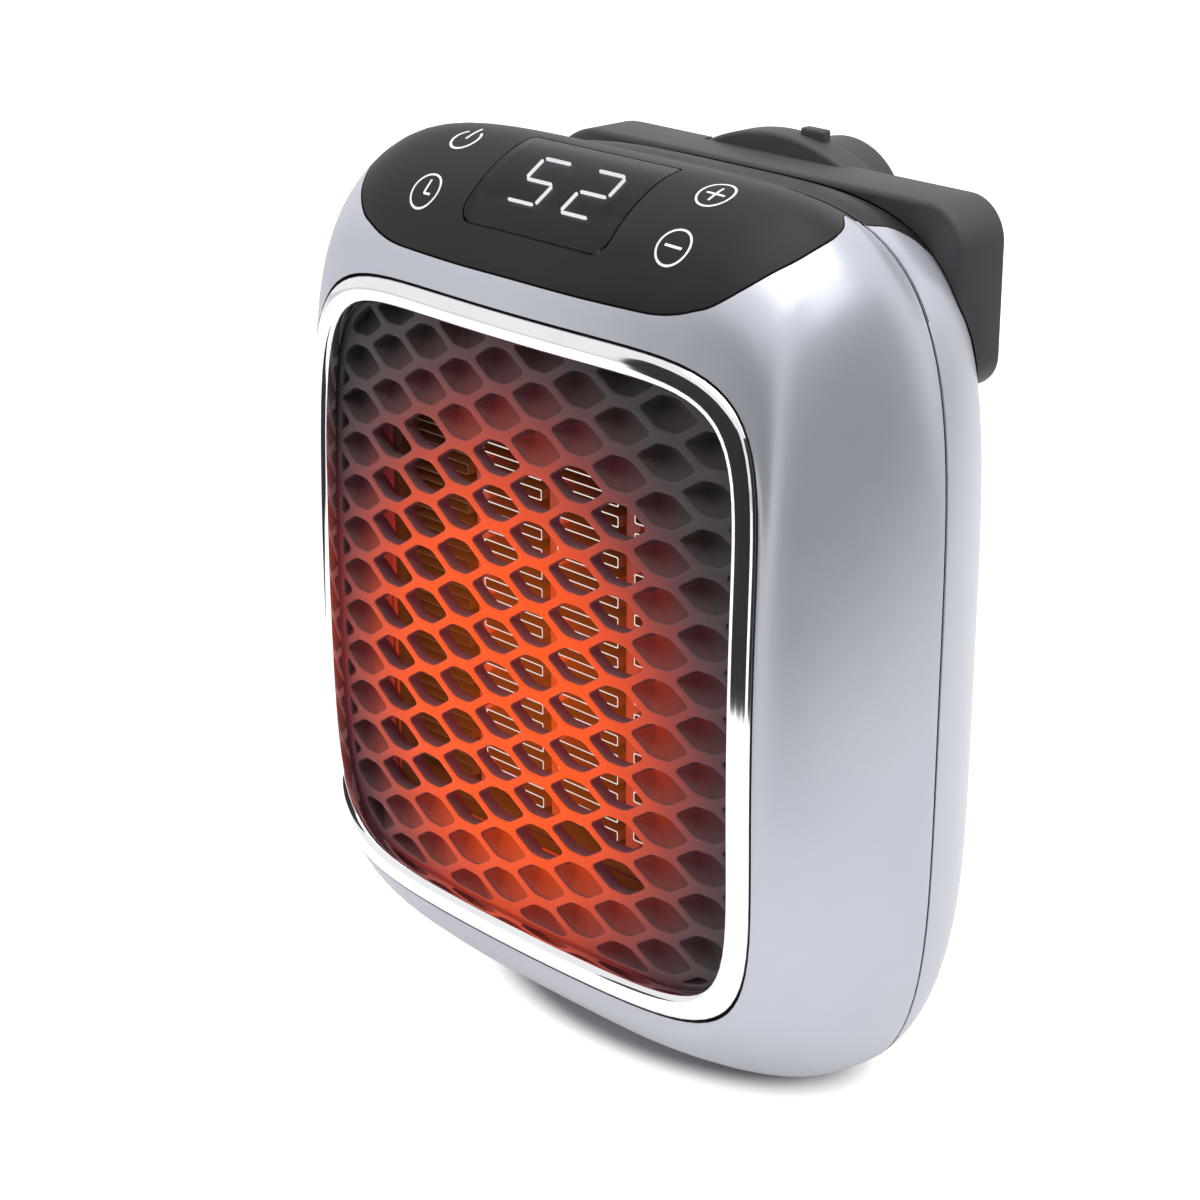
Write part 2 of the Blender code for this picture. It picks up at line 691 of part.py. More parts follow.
def make_front_shell():
    """Front housing: one moulded shell with the outlet and the panel recess."""
    last = len(FRONT_SHARES) - 1
    outside = [front_loop(row) for row in reversed(range(last + 1))]
    seat = [outlet_loop(RING_FACE + GAP, 0.0, RING_POWER),
            outlet_loop(RING_FACE + GAP, RING_SEAT_DEPTH, RING_POWER),
            outlet_loop(LIP_INSET, RING_SEAT_DEPTH, PLATE_POWER),
            outlet_loop(LIP_INSET, RING_SEAT_DEPTH + LIP_THICKNESS, PLATE_POWER)]
    inside = [front_loop(row, WALL) for row in INNER_ROWS]
    back = Vector((0, REBATE_DEPTH, 0))
    shoulder = [point - back for point in front_loop(last, WALL)]
    ledge = [point - back for point in front_loop(last, REBATE_INSET)]
    loops = outside + seat + inside + [shoulder, ledge, front_loop(last, REBATE_INSET)]
    body = piece(skin(loops, True, "front_shell"), "front_shell", (0.70, 0.72, 0.78), 0.6, 0.3)
    recess = cutter(band(-WALL, PANEL_RECESS, front_loop, last + 1, "recess"), "panel_recess")
    prism = cutter(sloped(panel_outline(GAP, 2 * WALL), FACET_LOW, FACET_HIGH), "panel_prism")
    combine(recess, prism, "INTERSECT")
    combine(body, recess, "DIFFERENCE")
    opening = slope_block(MODULE_HALF_WIDTH + GAP, MODULE_FRONT - GAP, MODULE_RUN + 2 * GAP,
                          MODULE_TOP - MODULE_THICKNESS, FACET_HIGH)
    combine(body, cutter(opening, "module_hole"), "DIFFERENCE")
    return body


def make_bezel_ring():
    """Plated ring: a rounded face with a leg that stands in the housing's seat."""
    section = [(0.0, RING_FLANGE)]
    section += [(RING_FACE * out, -RING_CROWN * crown) for out, crown in RING_SHARES]
    section += [(RING_FACE, RING_SEAT_DEPTH - GAP), (RING_FACE - RING_LEG, RING_SEAT_DEPTH - GAP),
                (RING_FACE - RING_LEG, RING_FLANGE)]
    loops = []
    for outset, depth in section:
        power = OUTLET_POWER + (RING_POWER - OUTLET_POWER) * outset / RING_FACE
        loops.append(outlet_loop(outset, depth, power))
    return piece(skin(loops, True, "bezel_ring"), "bezel_ring", (0.85, 0.85, 0.86), 1.0, 0.12)


def cell(x, z):
    """One six-cornered cell, wider than high."""
    top = [(x + CELL_HALF_WIDTH, z), (x + CELL_FLAT, z + CELL_HALF_HEIGHT),
           (x - CELL_FLAT, z + CELL_HALF_HEIGHT)]
    return top + [(2 * x - a, 2 * z - b) for a, b in top]


def grille_cells():
    """Cell centres inside the grille: those over the element and those round it."""
    through, blind = [], []
    columns = math.ceil(OUTLET_HALF_WIDTH / CELL_PITCH) + 1
    rows = math.ceil(OUTLET_HALF_RISE / CELL_RISE) + 1
    for column in range(-columns, columns):
        for row in range(-rows, rows + 1):
            x = (column + 0.5) * CELL_PITCH
            z = (row + (0.0 if column % 2 else 0.5)) * CELL_RISE
            reach_x = (abs(x) + CELL_HALF_WIDTH / 2) / OUTLET_HALF_WIDTH
            reach_z = (abs(z) + CELL_HALF_HEIGHT / 2) / OUTLET_HALF_RISE
            if reach_x ** OUTLET_POWER + reach_z ** OUTLET_POWER > 1.0:
                continue
            inner = -FLOW_LEFT < x < FLOW_RIGHT and -FLOW_LOW < z < FLOW_HIGH
            (through if inner else blind).append((x, z))
    return through, blind


def flat_outline(inset, power):
    """The outlet's outline grown by an inset, in X and Z about its centre."""
    loop = round_loop(OUTLET_HALF_WIDTH + inset, OUTLET_HALF_RISE + inset, 0.0, power, 0.0)
    return [(point.x, point.z) for point in loop]


def make_grille():
    """Outlet grille: a moulded mesh, open over the element, with four screw posts."""
    back = GRILLE_FRONT + GRILLE_THICKNESS
    floor = GRILLE_FRONT + POCKET_DEPTH
    post_end = FRAME_BACK
    base = cutter(upright([flat_outline(GRILLE_INSET, PLATE_POWER)], GRILLE_FRONT, back),
                  "grille_plate")
    flange = cutter(upright([flat_outline(GRILLE_FLANGE_INSET, PLATE_POWER)],
                            back - GRILLE_FLANGE, back), "grille_flange")
    posts = cutter(rods([((x, floor + WALL / 8, z - OUTLET_HEIGHT), (x, post_end, z - OUTLET_HEIGHT),
                          DUCT_POST_RADIUS, SMALL_STEPS) for x, z in corner_spots()]),
                   "grille_posts")
    bores = cutter(rods([((x, post_end - DUCT_SCREW_LENGTH, z - OUTLET_HEIGHT),
                          (x, post_end + WALL, z - OUTLET_HEIGHT), SCREW_HOLE, SMALL_STEPS)
                         for x, z in corner_spots()]), "grille_bores")
    seat_plane = back - GRILLE_FLANGE / 2
    seat = cutter(cuboid((-SEAT_HALF, seat_plane, -SEAT_HALF), (SEAT_HALF, back + WALL, SEAT_HALF)),
                  "grille_seat")
    through, blind = grille_cells()
    open_cells = cutter(upright([cell(x, z) for x, z in through], -WALL, back + WALL), "cells_open")
    closed_cells = cutter(upright([cell(x, z) for x, z in blind], -WALL, floor), "cells_blind")
    bound = cutter(upright([flat_outline(GAP, OUTLET_POWER)], -WALL * 2, floor + WALL),
                   "cells_bound")
    combine(closed_cells, bound, "INTERSECT")
    for other, operation in ((flange, "UNION"), (posts, "UNION"), (bores, "DIFFERENCE"),
                             (seat, "DIFFERENCE"), (open_cells, "DIFFERENCE"),
                             (closed_cells, "DIFFERENCE")):
        combine(base, other, operation)
    mesh = frozen(base, "grille")
    for body in (base, flange, posts, bores, seat, open_cells, closed_cells, bound):
        bpy.data.objects.remove(body)
    work = bmesh.new()
    work.from_mesh(mesh)
    bpy.data.meshes.remove(mesh)
    bmesh.ops.remove_doubles(work, verts=work.verts, dist=WELD)
    bmesh.ops.triangulate(work, faces=work.faces)
    for corner in work.verts:
        corner.co.z += OUTLET_HEIGHT
        if abs(corner.co.y - seat_plane) < WELD:
            corner.co.y = SEAT_PLANE
        elif corner.co.y < back + WELD:
            corner.co.y += bow(corner.co.x, corner.co.z)
    return piece(mesh_of(work, "grille"), "outlet_grille", (0.10, 0.09, 0.09), 0.0, 0.5)


def make_top_panel():
    """Black touch overlay let into the front housing, with the window's place cut out."""
    body = piece(band(0.0, PANEL_THICKNESS, front_loop, len(FRONT_SHARES), "top_panel"),
                 "top_panel", (0.04, 0.04, 0.045), 0.0, 0.35)
    prism = cutter(sloped(panel_outline(0.0, 2 * WALL), FACET_LOW, FACET_HIGH), "panel_shape")
    hole = cutter(sloped(window_outline(GAP), FACET_LOW, FACET_HIGH), "window_hole")
    combine(body, prism, "INTERSECT")
    combine(body, hole, "DIFFERENCE")
    return body


def make_display_window():
    """Clear smoked window that finishes flush with the panel."""
    body = piece(band(0.0, WINDOW_THICKNESS, front_loop, len(FRONT_SHARES), "window"),
                 "display_window", (0.05, 0.05, 0.055), 0.0, 0.1)
    shape = cutter(sloped(window_outline(0.0), FACET_LOW, FACET_HIGH), "window_shape")
    combine(body, shape, "INTERSECT")
    return body


def slope_block(half_width, front, run, low, high):
    """A box lying along the facet."""
    outline = [[(-half_width, front), (half_width, front),
                (half_width, front + run), (-half_width, front + run)]]
    return sloped(outline, low, high)


def digit_segments(centre):
    """Seven bars of one digit, as outlines along the slope."""
    middle = MODULE_FRONT + MODULE_RUN / 2
    half_high = DIGIT_HEIGHT / 2
    half_wide = DIGIT_WIDTH / 2
    half_bar = SEGMENT_WIDTH / 2
    end = SEGMENT_WIDTH * SEGMENT_END_SHARE
    bars = []
    for level in (-1, 0, 1):
        y = middle + level * half_high
        x0 = centre - half_wide + end
        x1 = centre + half_wide - end
        bars.append([(x0, y), (x0 + half_bar, y - half_bar), (x1 - half_bar, y - half_bar),
                     (x1, y), (x1 - half_bar, y + half_bar), (x0 + half_bar, y + half_bar)])
    for side in (-1, 1):
        for level in (-1, 1):
            x = centre + side * half_wide
            y0 = middle + (end if level > 0 else end - half_high)
            y1 = middle + (half_high - end if level > 0 else -end)
            bars.append([(x, y0), (x + half_bar, y0 + half_bar), (x + half_bar, y1 - half_bar),
                         (x, y1), (x - half_bar, y1 - half_bar), (x - half_bar, y0 + half_bar)])
    return bars


def make_display():
    """Two-digit display block on the touch board, with its raised light bars."""
    low = MODULE_TOP - MODULE_THICKNESS
    piece(slope_block(MODULE_HALF_WIDTH, MODULE_FRONT, MODULE_RUN, low, MODULE_TOP),
          "display_block", (0.08, 0.08, 0.09), 0.0, 0.6)
    bars = digit_segments(-DIGIT_SIDE - DIGIT_PITCH / 2)
    bars += digit_segments(-DIGIT_SIDE + DIGIT_PITCH / 2)
    base = MODULE_TOP + DIGIT_LIFT
    half_width = DIGIT_SIDE + DIGIT_PITCH / 2 + DIGIT_WIDTH / 2 + SEGMENT_WIDTH
    run = DIGIT_HEIGHT + 2 * SEGMENT_WIDTH
    front = MODULE_FRONT + (MODULE_RUN - run) / 2
    plate = piece(slope_block(half_width, front, run, base, base + SEGMENT_LIFT),
                  "display_digits", (0.9, 0.9, 0.92), 0.0, 0.4)
    raised = sloped(bars, base + SEGMENT_LIFT / 2, base + 2 * SEGMENT_LIFT)
    combine(plate, cutter(raised, "digit_bars"), "UNION")


def make_touch_board():
    """Board under the panel, and the four springs that carry the touch pads."""
    piece(slope_block(TOUCH_BOARD_HALF_WIDTH, TOUCH_BOARD_FRONT, TOUCH_BOARD_RUN,
                      TOUCH_BOARD_TOP - BOARD_THICKNESS, TOUCH_BOARD_TOP),
          "touch_board", (0.05, 0.28, 0.12), 0.0, 0.45)
    count = 0
    for side in (-1, 1):
        for run in (SPRING_NEAR, SPRING_FAR):
            count += 1
            x = side * SPRING_REACH
            start = on_slope(x, run, TOUCH_BOARD_TOP + GAP / 2)
            row = (start, on_slope(x, run, SPRING_TOP), SPRING_RADIUS, SMALL_STEPS)
            piece(rods([row]), f"touch_spring_{count}", (0.75, 0.72, 0.65), 1.0, 0.3)


def make_front_fixings(shell):
    """Join the posts to the front housing and drill them for the case screws."""
    rows = []
    for index, (x, z) in enumerate(case_post_spots()):
        start = UPPER_POST_START if index < 2 else LOWER_POST_START
        rows.append(((x, start, z), (x, FRONT_DEPTH - GAP, z), CASE_POST_RADIUS, POST_STEPS))
    near = TOUCH_BOARD_FRONT + WALL / 2
    far = TOUCH_BOARD_FRONT + TOUCH_BOARD_RUN - WALL / 2
    for side in (-1, 1):
        x = side * PANEL_POST_REACH
        for run in (near, far):
            start = on_slope(x, run, TOUCH_BOARD_TOP + GAP / 2)
            rows.append((start, on_slope(x, run, PANEL_POST_TOP), PANEL_POST_RADIUS, SMALL_STEPS))
    for index, row in enumerate(rows):
        combine(shell, cutter(rods([row]), f"front_post_{index}"), "UNION")
    rib_end = FRONT_DEPTH - REBATE_DEPTH * 2
    for index, (x, z) in enumerate(case_post_spots()):
        if index < 2:
            low, high = (UPPER_POST_START, z), (rib_end, z + UPPER_RIB_RISE)
        else:
            low, high = (LOWER_RIB_START, z - LOWER_RIB_DROP), (rib_end, z)
        rib = cuboid((x - POST_RIB / 2, *low), (x + POST_RIB / 2, *high))
        combine(shell, cutter(rib, f"front_rib_{index}"), "UNION")
    holes = [((x, CASE_HEAD_SEAT - CASE_SCREW_LENGTH, z), (x, FRONT_DEPTH + WALL, z), SCREW_HOLE,
              SMALL_STEPS) for x, z in case_post_spots()]
    combine(shell, cutter(rods(holes), "front_holes"), "DIFFERENCE")


def make_element():
    """Heating element: frame, folded aluminium fins and ceramic bars between them."""
    outer = [round_loop(FRAME_HALF, FRAME_HALF, depth, FRAME_POWER, ELEMENT_HEIGHT)
             for depth in (FRAME_FRONT, FRAME_BACK)]
    inner = [round_loop(FRAME_BORE, FRAME_BORE, depth, BORE_POWER, ELEMENT_HEIGHT)
             for depth in (FRAME_BACK, FRAME_FRONT)]
    piece(skin(outer + inner, True, "element_frame"), "element_frame", (0.12, 0.11, 0.10), 0.0, 0.6)
    free = 2 * FRAME_BORE - 4 * GAP - (FIN_PACKS - 1) * (BAR_THICKNESS + 2 * GAP)
    pack = free / FIN_PACKS
    x = -FRAME_BORE + 2 * GAP
    fold = 2 * FIN_HALF_RISE / FIN_FOLDS
    for index in range(FIN_PACKS):
        front, rear = [], []
        for step in range(FIN_FOLDS + 1):
            z = -FIN_HALF_RISE + step * fold
            at = x if step % 2 else x + pack - FIN_SHEET
            front.append((at, z))
            rear.append((at + FIN_SHEET, z))
        outline = front + list(reversed(rear))
        shape = upright([outline], FIN_FRONT, FIN_FRONT + FIN_DEPTH, "fins", (0, ELEMENT_HEIGHT))
        piece(shape, f"fin_pack_{index + 1}", (0.78, 0.79, 0.80), 1.0, 0.3)
        x += pack + GAP
        if index < FIN_PACKS - 1:
            middle = FIN_FRONT + FIN_DEPTH / 2
            low = (x, middle - BAR_DEPTH / 2, ELEMENT_HEIGHT - FIN_HALF_RISE - BAR_OVERHANG)
            high = (x + BAR_THICKNESS, middle + BAR_DEPTH / 2,
                    ELEMENT_HEIGHT + FIN_HALF_RISE + BAR_OVERHANG)
            piece(cuboid(low, high), f"ceramic_bar_{index + 1}", (0.82, 0.80, 0.74), 0.0, 0.5)
            x += BAR_THICKNESS + GAP
    top = ELEMENT_HEIGHT + FRAME_HALF + GAP
    middle = FRAME_FRONT + FRAME_DEPTH / 2
    piece(rods([((-CUTOUT_SIDE, middle, top), (-CUTOUT_SIDE, middle, top + CUTOUT_HEIGHT),
                 CUTOUT_RADIUS, ROUND_STEPS)]), "thermal_cutout", (0.25, 0.22, 0.18), 0.2, 0.4)
    piece(rods([((CUTOUT_SIDE - FUSE_LENGTH / 2, middle, top + FUSE_RADIUS),
                 (CUTOUT_SIDE + FUSE_LENGTH / 2, middle, top + FUSE_RADIUS), FUSE_RADIUS,
                 SMALL_STEPS)]), "thermal_fuse", (0.85, 0.82, 0.72), 0.0, 0.4)


def make_air_duct():
    """Duct from the round fan ring to the square element, with a screwed flange."""
    start = DUCT_START
    flange = start + DUCT_FLANGE
    ring = FAN_BORE + DUCT_WALL
    height = ELEMENT_HEIGHT
    loops = [
        round_loop(DUCT_FLANGE_HALF, DUCT_FLANGE_HALF, start, FRAME_POWER, height),
        round_loop(DUCT_FLANGE_HALF, DUCT_FLANGE_HALF, flange, FRAME_POWER, height),
        round_loop(FRAME_HALF, FRAME_HALF, flange, DUCT_POWER, height),
        round_loop(ring, ring, DUCT_RING_START, CIRCLE_POWER, height),
        round_loop(ring, ring, DUCT_RING_END, CIRCLE_POWER, height),
        round_loop(FAN_BORE, FAN_BORE, DUCT_RING_END, CIRCLE_POWER, height),
        round_loop(FAN_BORE, FAN_BORE, DUCT_RING_START, CIRCLE_POWER, height),
        round_loop(FRAME_BORE, FRAME_BORE, start, DUCT_POWER, height),
    ]
    body = piece(skin(loops, True, "air_duct"), "air_duct", (0.14, 0.14, 0.15), 0.0, 0.6)
    holes = [((x, start - WALL, z), (x, flange + WALL, z), SCREW_HOLE, SMALL_STEPS)
             for x, z in corner_spots()]
    combine(body, cutter(rods(holes), "duct_holes"), "DIFFERENCE")
    for index, (x, z) in enumerate(corner_spots()):
        tip = (x, start - DUCT_SCREW_LENGTH + GAP, z)
        make_screw(tip, flange + GAP, f"duct_screw_{index + 1}")


def make_screw(tip, seat, name):
    """A screw as one turned body, from its tip to the head on its seat."""
    x, start, z = tip
    rows = ((start, SCREW_RADIUS * SCREW_TIP_SHARE), (start + SCREW_RADIUS, SCREW_RADIUS),
            (seat, SCREW_RADIUS), (seat, SCREW_HEAD_RADIUS),
            (seat + SCREW_HEAD, SCREW_HEAD_RADIUS * SCREW_CROWN_SHARE))
    loops = []
    for depth, radius in rows:
        loop = []
        for step in range(SCREW_STEPS):
            angle = 2 * math.pi * step / SCREW_STEPS
            loop.append(Vector((x + radius * math.cos(angle), depth, z + radius * math.sin(angle))))
        loops.append(loop)
    piece(skin(loops, False, name), name, (0.6, 0.6, 0.6), 1.0, 0.35)


def make_fan():
    """Axial fan: hub with pitched blades, on the motor's shaft."""
    axis = Vector((0, 0, ELEMENT_HEIGHT))
    end = FAN_START + FAN_DEPTH
    hub = rods([((0, FAN_START, 0), (0, end, 0), FAN_HUB_RADIUS, ROUND_STEPS)])
    body = piece(hub, "fan_impeller", (0.16, 0.16, 0.17), 0.0, 0.5)
    middle = FAN_START + FAN_DEPTH / 2
    half_chord = FAN_DEPTH / 2 / math.sin(BLADE_PITCH) * BLADE_CHORD_SHARE
    for index in range(FAN_BLADES):
        blade = cuboid((FAN_HUB_RADIUS * BLADE_ROOT_SHARE, -half_chord, -BLADE_THICKNESS / 2),
                       (FAN_RADIUS, half_chord, BLADE_THICKNESS / 2))
        tip = cutter(blade, f"fan_blade_{index + 1}")
        pitch = Matrix.Rotation(QUARTER_TURN - BLADE_PITCH, 4, "X")
        round_axis = Matrix.Rotation(2 * math.pi * index / FAN_BLADES, 4, "Y")
        tip.data.transform(round_axis @ Matrix.Translation((0, middle, 0)) @ pitch)
        combine(body, tip, "UNION")
    shaft_hole = cutter(rods([((0, FAN_START + WALL, 0), (0, end + WALL, 0),
                               SHAFT_RADIUS + GAP / 2, SMALL_STEPS)]), "shaft_hole")
    combine(body, shaft_hole, "DIFFERENCE")
    rim = rods([((0, FAN_START - WALL, 0), (0, end + WALL, 0), FAN_RADIUS, RING_STEPS)])
    combine(body, cutter(rim, "fan_rim"), "INTERSECT")
    shaft = piece(rods([((0, FAN_START + WALL + GAP, 0), (0, MOTOR_START - GAP, 0), SHAFT_RADIUS,
                         SMALL_STEPS)]), "fan_shaft", (0.7, 0.7, 0.7), 1.0, 0.25)
    pivot = bpy.data.objects.new("fan_axis", None)
    PARTS.objects.link(pivot)
    pivot.location = axis
    for moving in (body, shaft):
        moving.parent = pivot
    for item in [item for item in CUTTERS.objects if item.name.startswith("fan_")]:
        item.parent = pivot
    shaft_hole.parent = pivot


def make_motor():
    """Fan motor and the three-armed bracket that holds it on the duct's ring."""
    height = ELEMENT_HEIGHT
    piece(rods([((0, MOTOR_START, height), (0, MOTOR_END, height), MOTOR_RADIUS, ROUND_STEPS)]),
          "fan_motor", (0.62, 0.63, 0.65), 1.0, 0.35)
    start = DUCT_RING_END + GAP
    ring = FAN_BORE + DUCT_WALL
    rows = ((ring, start), (ring, start + BRACKET_THICKNESS),
            (FAN_BORE, start + BRACKET_THICKNESS), (FAN_BORE, start))
    loops = [circle_loop(radius, depth, height) for radius, depth in rows]
    body = piece(skin(loops, True, "motor_bracket"), "motor_bracket", (0.14, 0.14, 0.15), 0.0, 0.6)
    collar = MOTOR_RADIUS + GAP
    deep = start + BRACKET_THICKNESS * 2
    rows = ((collar + DUCT_WALL, start), (collar + DUCT_WALL, deep), (collar, deep),
            (collar, start))
    cup = [circle_loop(radius, depth, height) for radius, depth in rows]
    combine(body, cutter(skin(cup, True, "motor_cup"), "motor_cup"), "UNION")
    for index in range(BRACKET_ARMS):
        arm = cutter(cuboid((collar + DUCT_WALL / 2, start, -BRACKET_ARM / 2),
                            (FAN_BORE + DUCT_WALL / 2, start + BRACKET_THICKNESS, BRACKET_ARM / 2)),
                     f"bracket_arm_{index + 1}")
        angle = QUARTER_TURN + 2 * math.pi * index / BRACKET_ARMS
        arm.data.transform(Matrix.Translation((0, 0, height)) @ Matrix.Rotation(angle, 4, "Y"))
        combine(body, arm, "UNION")


def slot_outline(half_length, half_height):
    """A slot with slanted ends."""
    tip = half_length + half_height
    return [(-half_length, -half_height), (half_length, -half_height), (tip, 0),
            (half_length, half_height), (-half_length, half_height), (-tip, 0)]


def rear_cap_outline(grow, end_grow):
    """The black top strip of the rear housing, seen from above."""
    back = CAP_END + end_grow
    middle = (FRONT_DEPTH + CAP_END) / 2
    right = [(CAP_FRONT_SIDE + grow, FRONT_DEPTH - WALL), (CAP_FRONT_SIDE + grow, FRONT_DEPTH),
             (CAP_MIDDLE_SIDE + grow, middle), (CAP_REAR_SIDE + grow, back)]
    left = [(-x, y) for x, y in reversed(right)]
    return [right + left]


def make_rear_shell():
    """Rear housing: a deep cup with the air intake, posts and the swivel's hole."""
    count = len(REAR_SHARES)
    first = Vector((0, SEAM_GAP, 0))
    outside = [rear_loop(row) for row in reversed(range(1, count))]
    outside.append([point + first for point in rear_loop(0)])
    step = [point + first for point in rear_loop(0, TONGUE_INSET)]
    reach = Vector((0, -TONGUE_REACH, 0))
    tongue_out = [point + reach for point in rear_loop(0, TONGUE_INSET)]
    tongue_in = [point + reach for point in rear_loop(0, TONGUE_INSET + TONGUE_WALL)]
    inside = [rear_loop(row, REAR_WALL) for row in REAR_INNER_ROWS]
    loops = outside + [step, tongue_out, tongue_in] + inside
    body = piece(skin(loops, False, "rear_shell"), "rear_shell", (0.70, 0.72, 0.78), 0.6, 0.3)
    posts = []
    wall_face = HOUSING_DEPTH - REAR_WALL
    for x, z in case_post_spots():
        posts.append(((x, FRONT_DEPTH + GAP, z), (x, wall_face + GAP, z), CASE_POST_RADIUS,
                      POST_STEPS))
    for side in (-1, 1):
        for z in (BOARD_LOW + STANDOFF_INSET, BOARD_HIGH - STANDOFF_INSET):
            x = side * STANDOFF_SIDE
            posts.append(((x, BOARD_BACK + GAP / 2, z), (x, wall_face + GAP, z), STANDOFF_RADIUS,
                          SMALL_STEPS))
    for index, row in enumerate(posts):
        combine(body, cutter(rods([row]), f"rear_post_{index}"), "UNION")
    holes = []
    for x, z in case_post_spots():
        holes.append(((x, FRONT_DEPTH - WALL, z), (x, CASE_HEAD_SEAT + GAP, z), SCREW_HOLE,
                      SMALL_STEPS))
    bores = cutter(rods(holes), "rear_bores")
    heads = cutter(rods([((x, CASE_HEAD_SEAT - GAP, z), (x, wall_face + 2 * WALL, z), HEAD_RECESS,
                          POST_STEPS) for x, z in case_post_spots()]), "rear_heads")
    bore = cutter(rods([((0, wall_face - WALL, SWIVEL_HEIGHT),
                         (0, wall_face + 2 * WALL, SWIVEL_HEIGHT),
                         SLEEVE_RADIUS + GAP, ROUND_STEPS)]), "swivel_bore")
    slots = []
    for row in range(SLOT_ROWS):
        z = OUTLET_HEIGHT - SLOT_TOP_DROP - row * SLOT_PITCH
        long = SLOT_LONG if z > LOWER_POST_HEIGHT + 2 * CASE_POST_RADIUS else SLOT_SHORT
        half = (long - SLOT_RIB) / 2
        for side in (-1, 1):
            outline = slot_outline(half - SLOT_HALF_HEIGHT, SLOT_HALF_HEIGHT)
            slots.append([(x + side * (half + SLOT_RIB / 2), y + z) for x, y in outline])
    intake = cutter(upright(slots, wall_face - WALL, wall_face + 2 * WALL), "intake_slots")
    for other in (bores, heads, bore, intake):
        combine(body, other, "DIFFERENCE")
    recess = cutter(band(-WALL, CAP_RECESS, rear_loop, count, "cap_recess"),
                    "cap_recess")
    tall = CROWN_HEIGHT
    prism = cutter(flat_shape(rear_cap_outline(GAP, GAP), tall, "cap_prism", None,
                              (0, 0, OUTLET_HEIGHT)), "cap_prism")
    combine(recess, prism, "INTERSECT")
    combine(body, recess, "DIFFERENCE")
    return body


def make_rear_cap():
    """Black strip let into the top of the rear housing, behind the touch panel."""
    body = piece(band(0.0, CAP_THICKNESS, rear_loop, len(REAR_SHARES), "rear_cap"),
                 "rear_top_strip", (0.04, 0.04, 0.045), 0.0, 0.35)
    tall = CROWN_HEIGHT
    shape = rear_cap_outline(0.0, 0.0)
    front = FRONT_DEPTH + SEAM_GAP
    shape[0] = [(x, max(y, front)) for x, y in shape[0]]
    keep = []
    for point in shape[0]:
        if point not in keep:
            keep.append(point)
    prism = cutter(flat_shape([keep], tall, "cap_shape", None, (0, 0, OUTLET_HEIGHT)), "cap_shape")
    combine(body, prism, "INTERSECT")
    return body


def rounded_box(half, low, high, radius, steps=CORNER_STEPS):
    """A rounded rectangle in X and Z."""
    points = []
    for cx, cz, first in ((half - radius, high - radius, 0), (-half + radius, high - radius, 1),
                          (-half + radius, low + radius, 2), (half - radius, low + radius, 3)):
        for step in range(steps + 1):
            angle = QUARTER_TURN * (first + step / steps)
            points.append((cx + radius * math.cos(angle), cz + radius * math.sin(angle)))
    return points


def make_saddle():
    """Black cross piece on the rear housing's shoulder, round the swivel."""
    outline = rounded_box(SADDLE_HALF_WIDTH, SADDLE_LOW, SADDLE_HIGH, SADDLE_CORNER)
    body = piece(upright([outline], SADDLE_START, SADDLE_END, "saddle"),
                 "rear_saddle", (0.04, 0.04, 0.045), 0.0, 0.4)
    count = len(REAR_SHARES)
    grown = [rear_loop(row, -GAP) for row in range(count)]
    form = cutter(skin(grown, False, "saddle_seat"), "saddle_seat")
    well = cutter(rods([((0, SWIVEL_START - GAP, SWIVEL_HEIGHT),
                         (0, SWIVEL_END + WALL, SWIVEL_HEIGHT),
                         SWIVEL_RADIUS + GAP, RING_STEPS)]), "saddle_well")
    combine(body, form, "DIFFERENCE")
    combine(body, well, "DIFFERENCE")
    return body


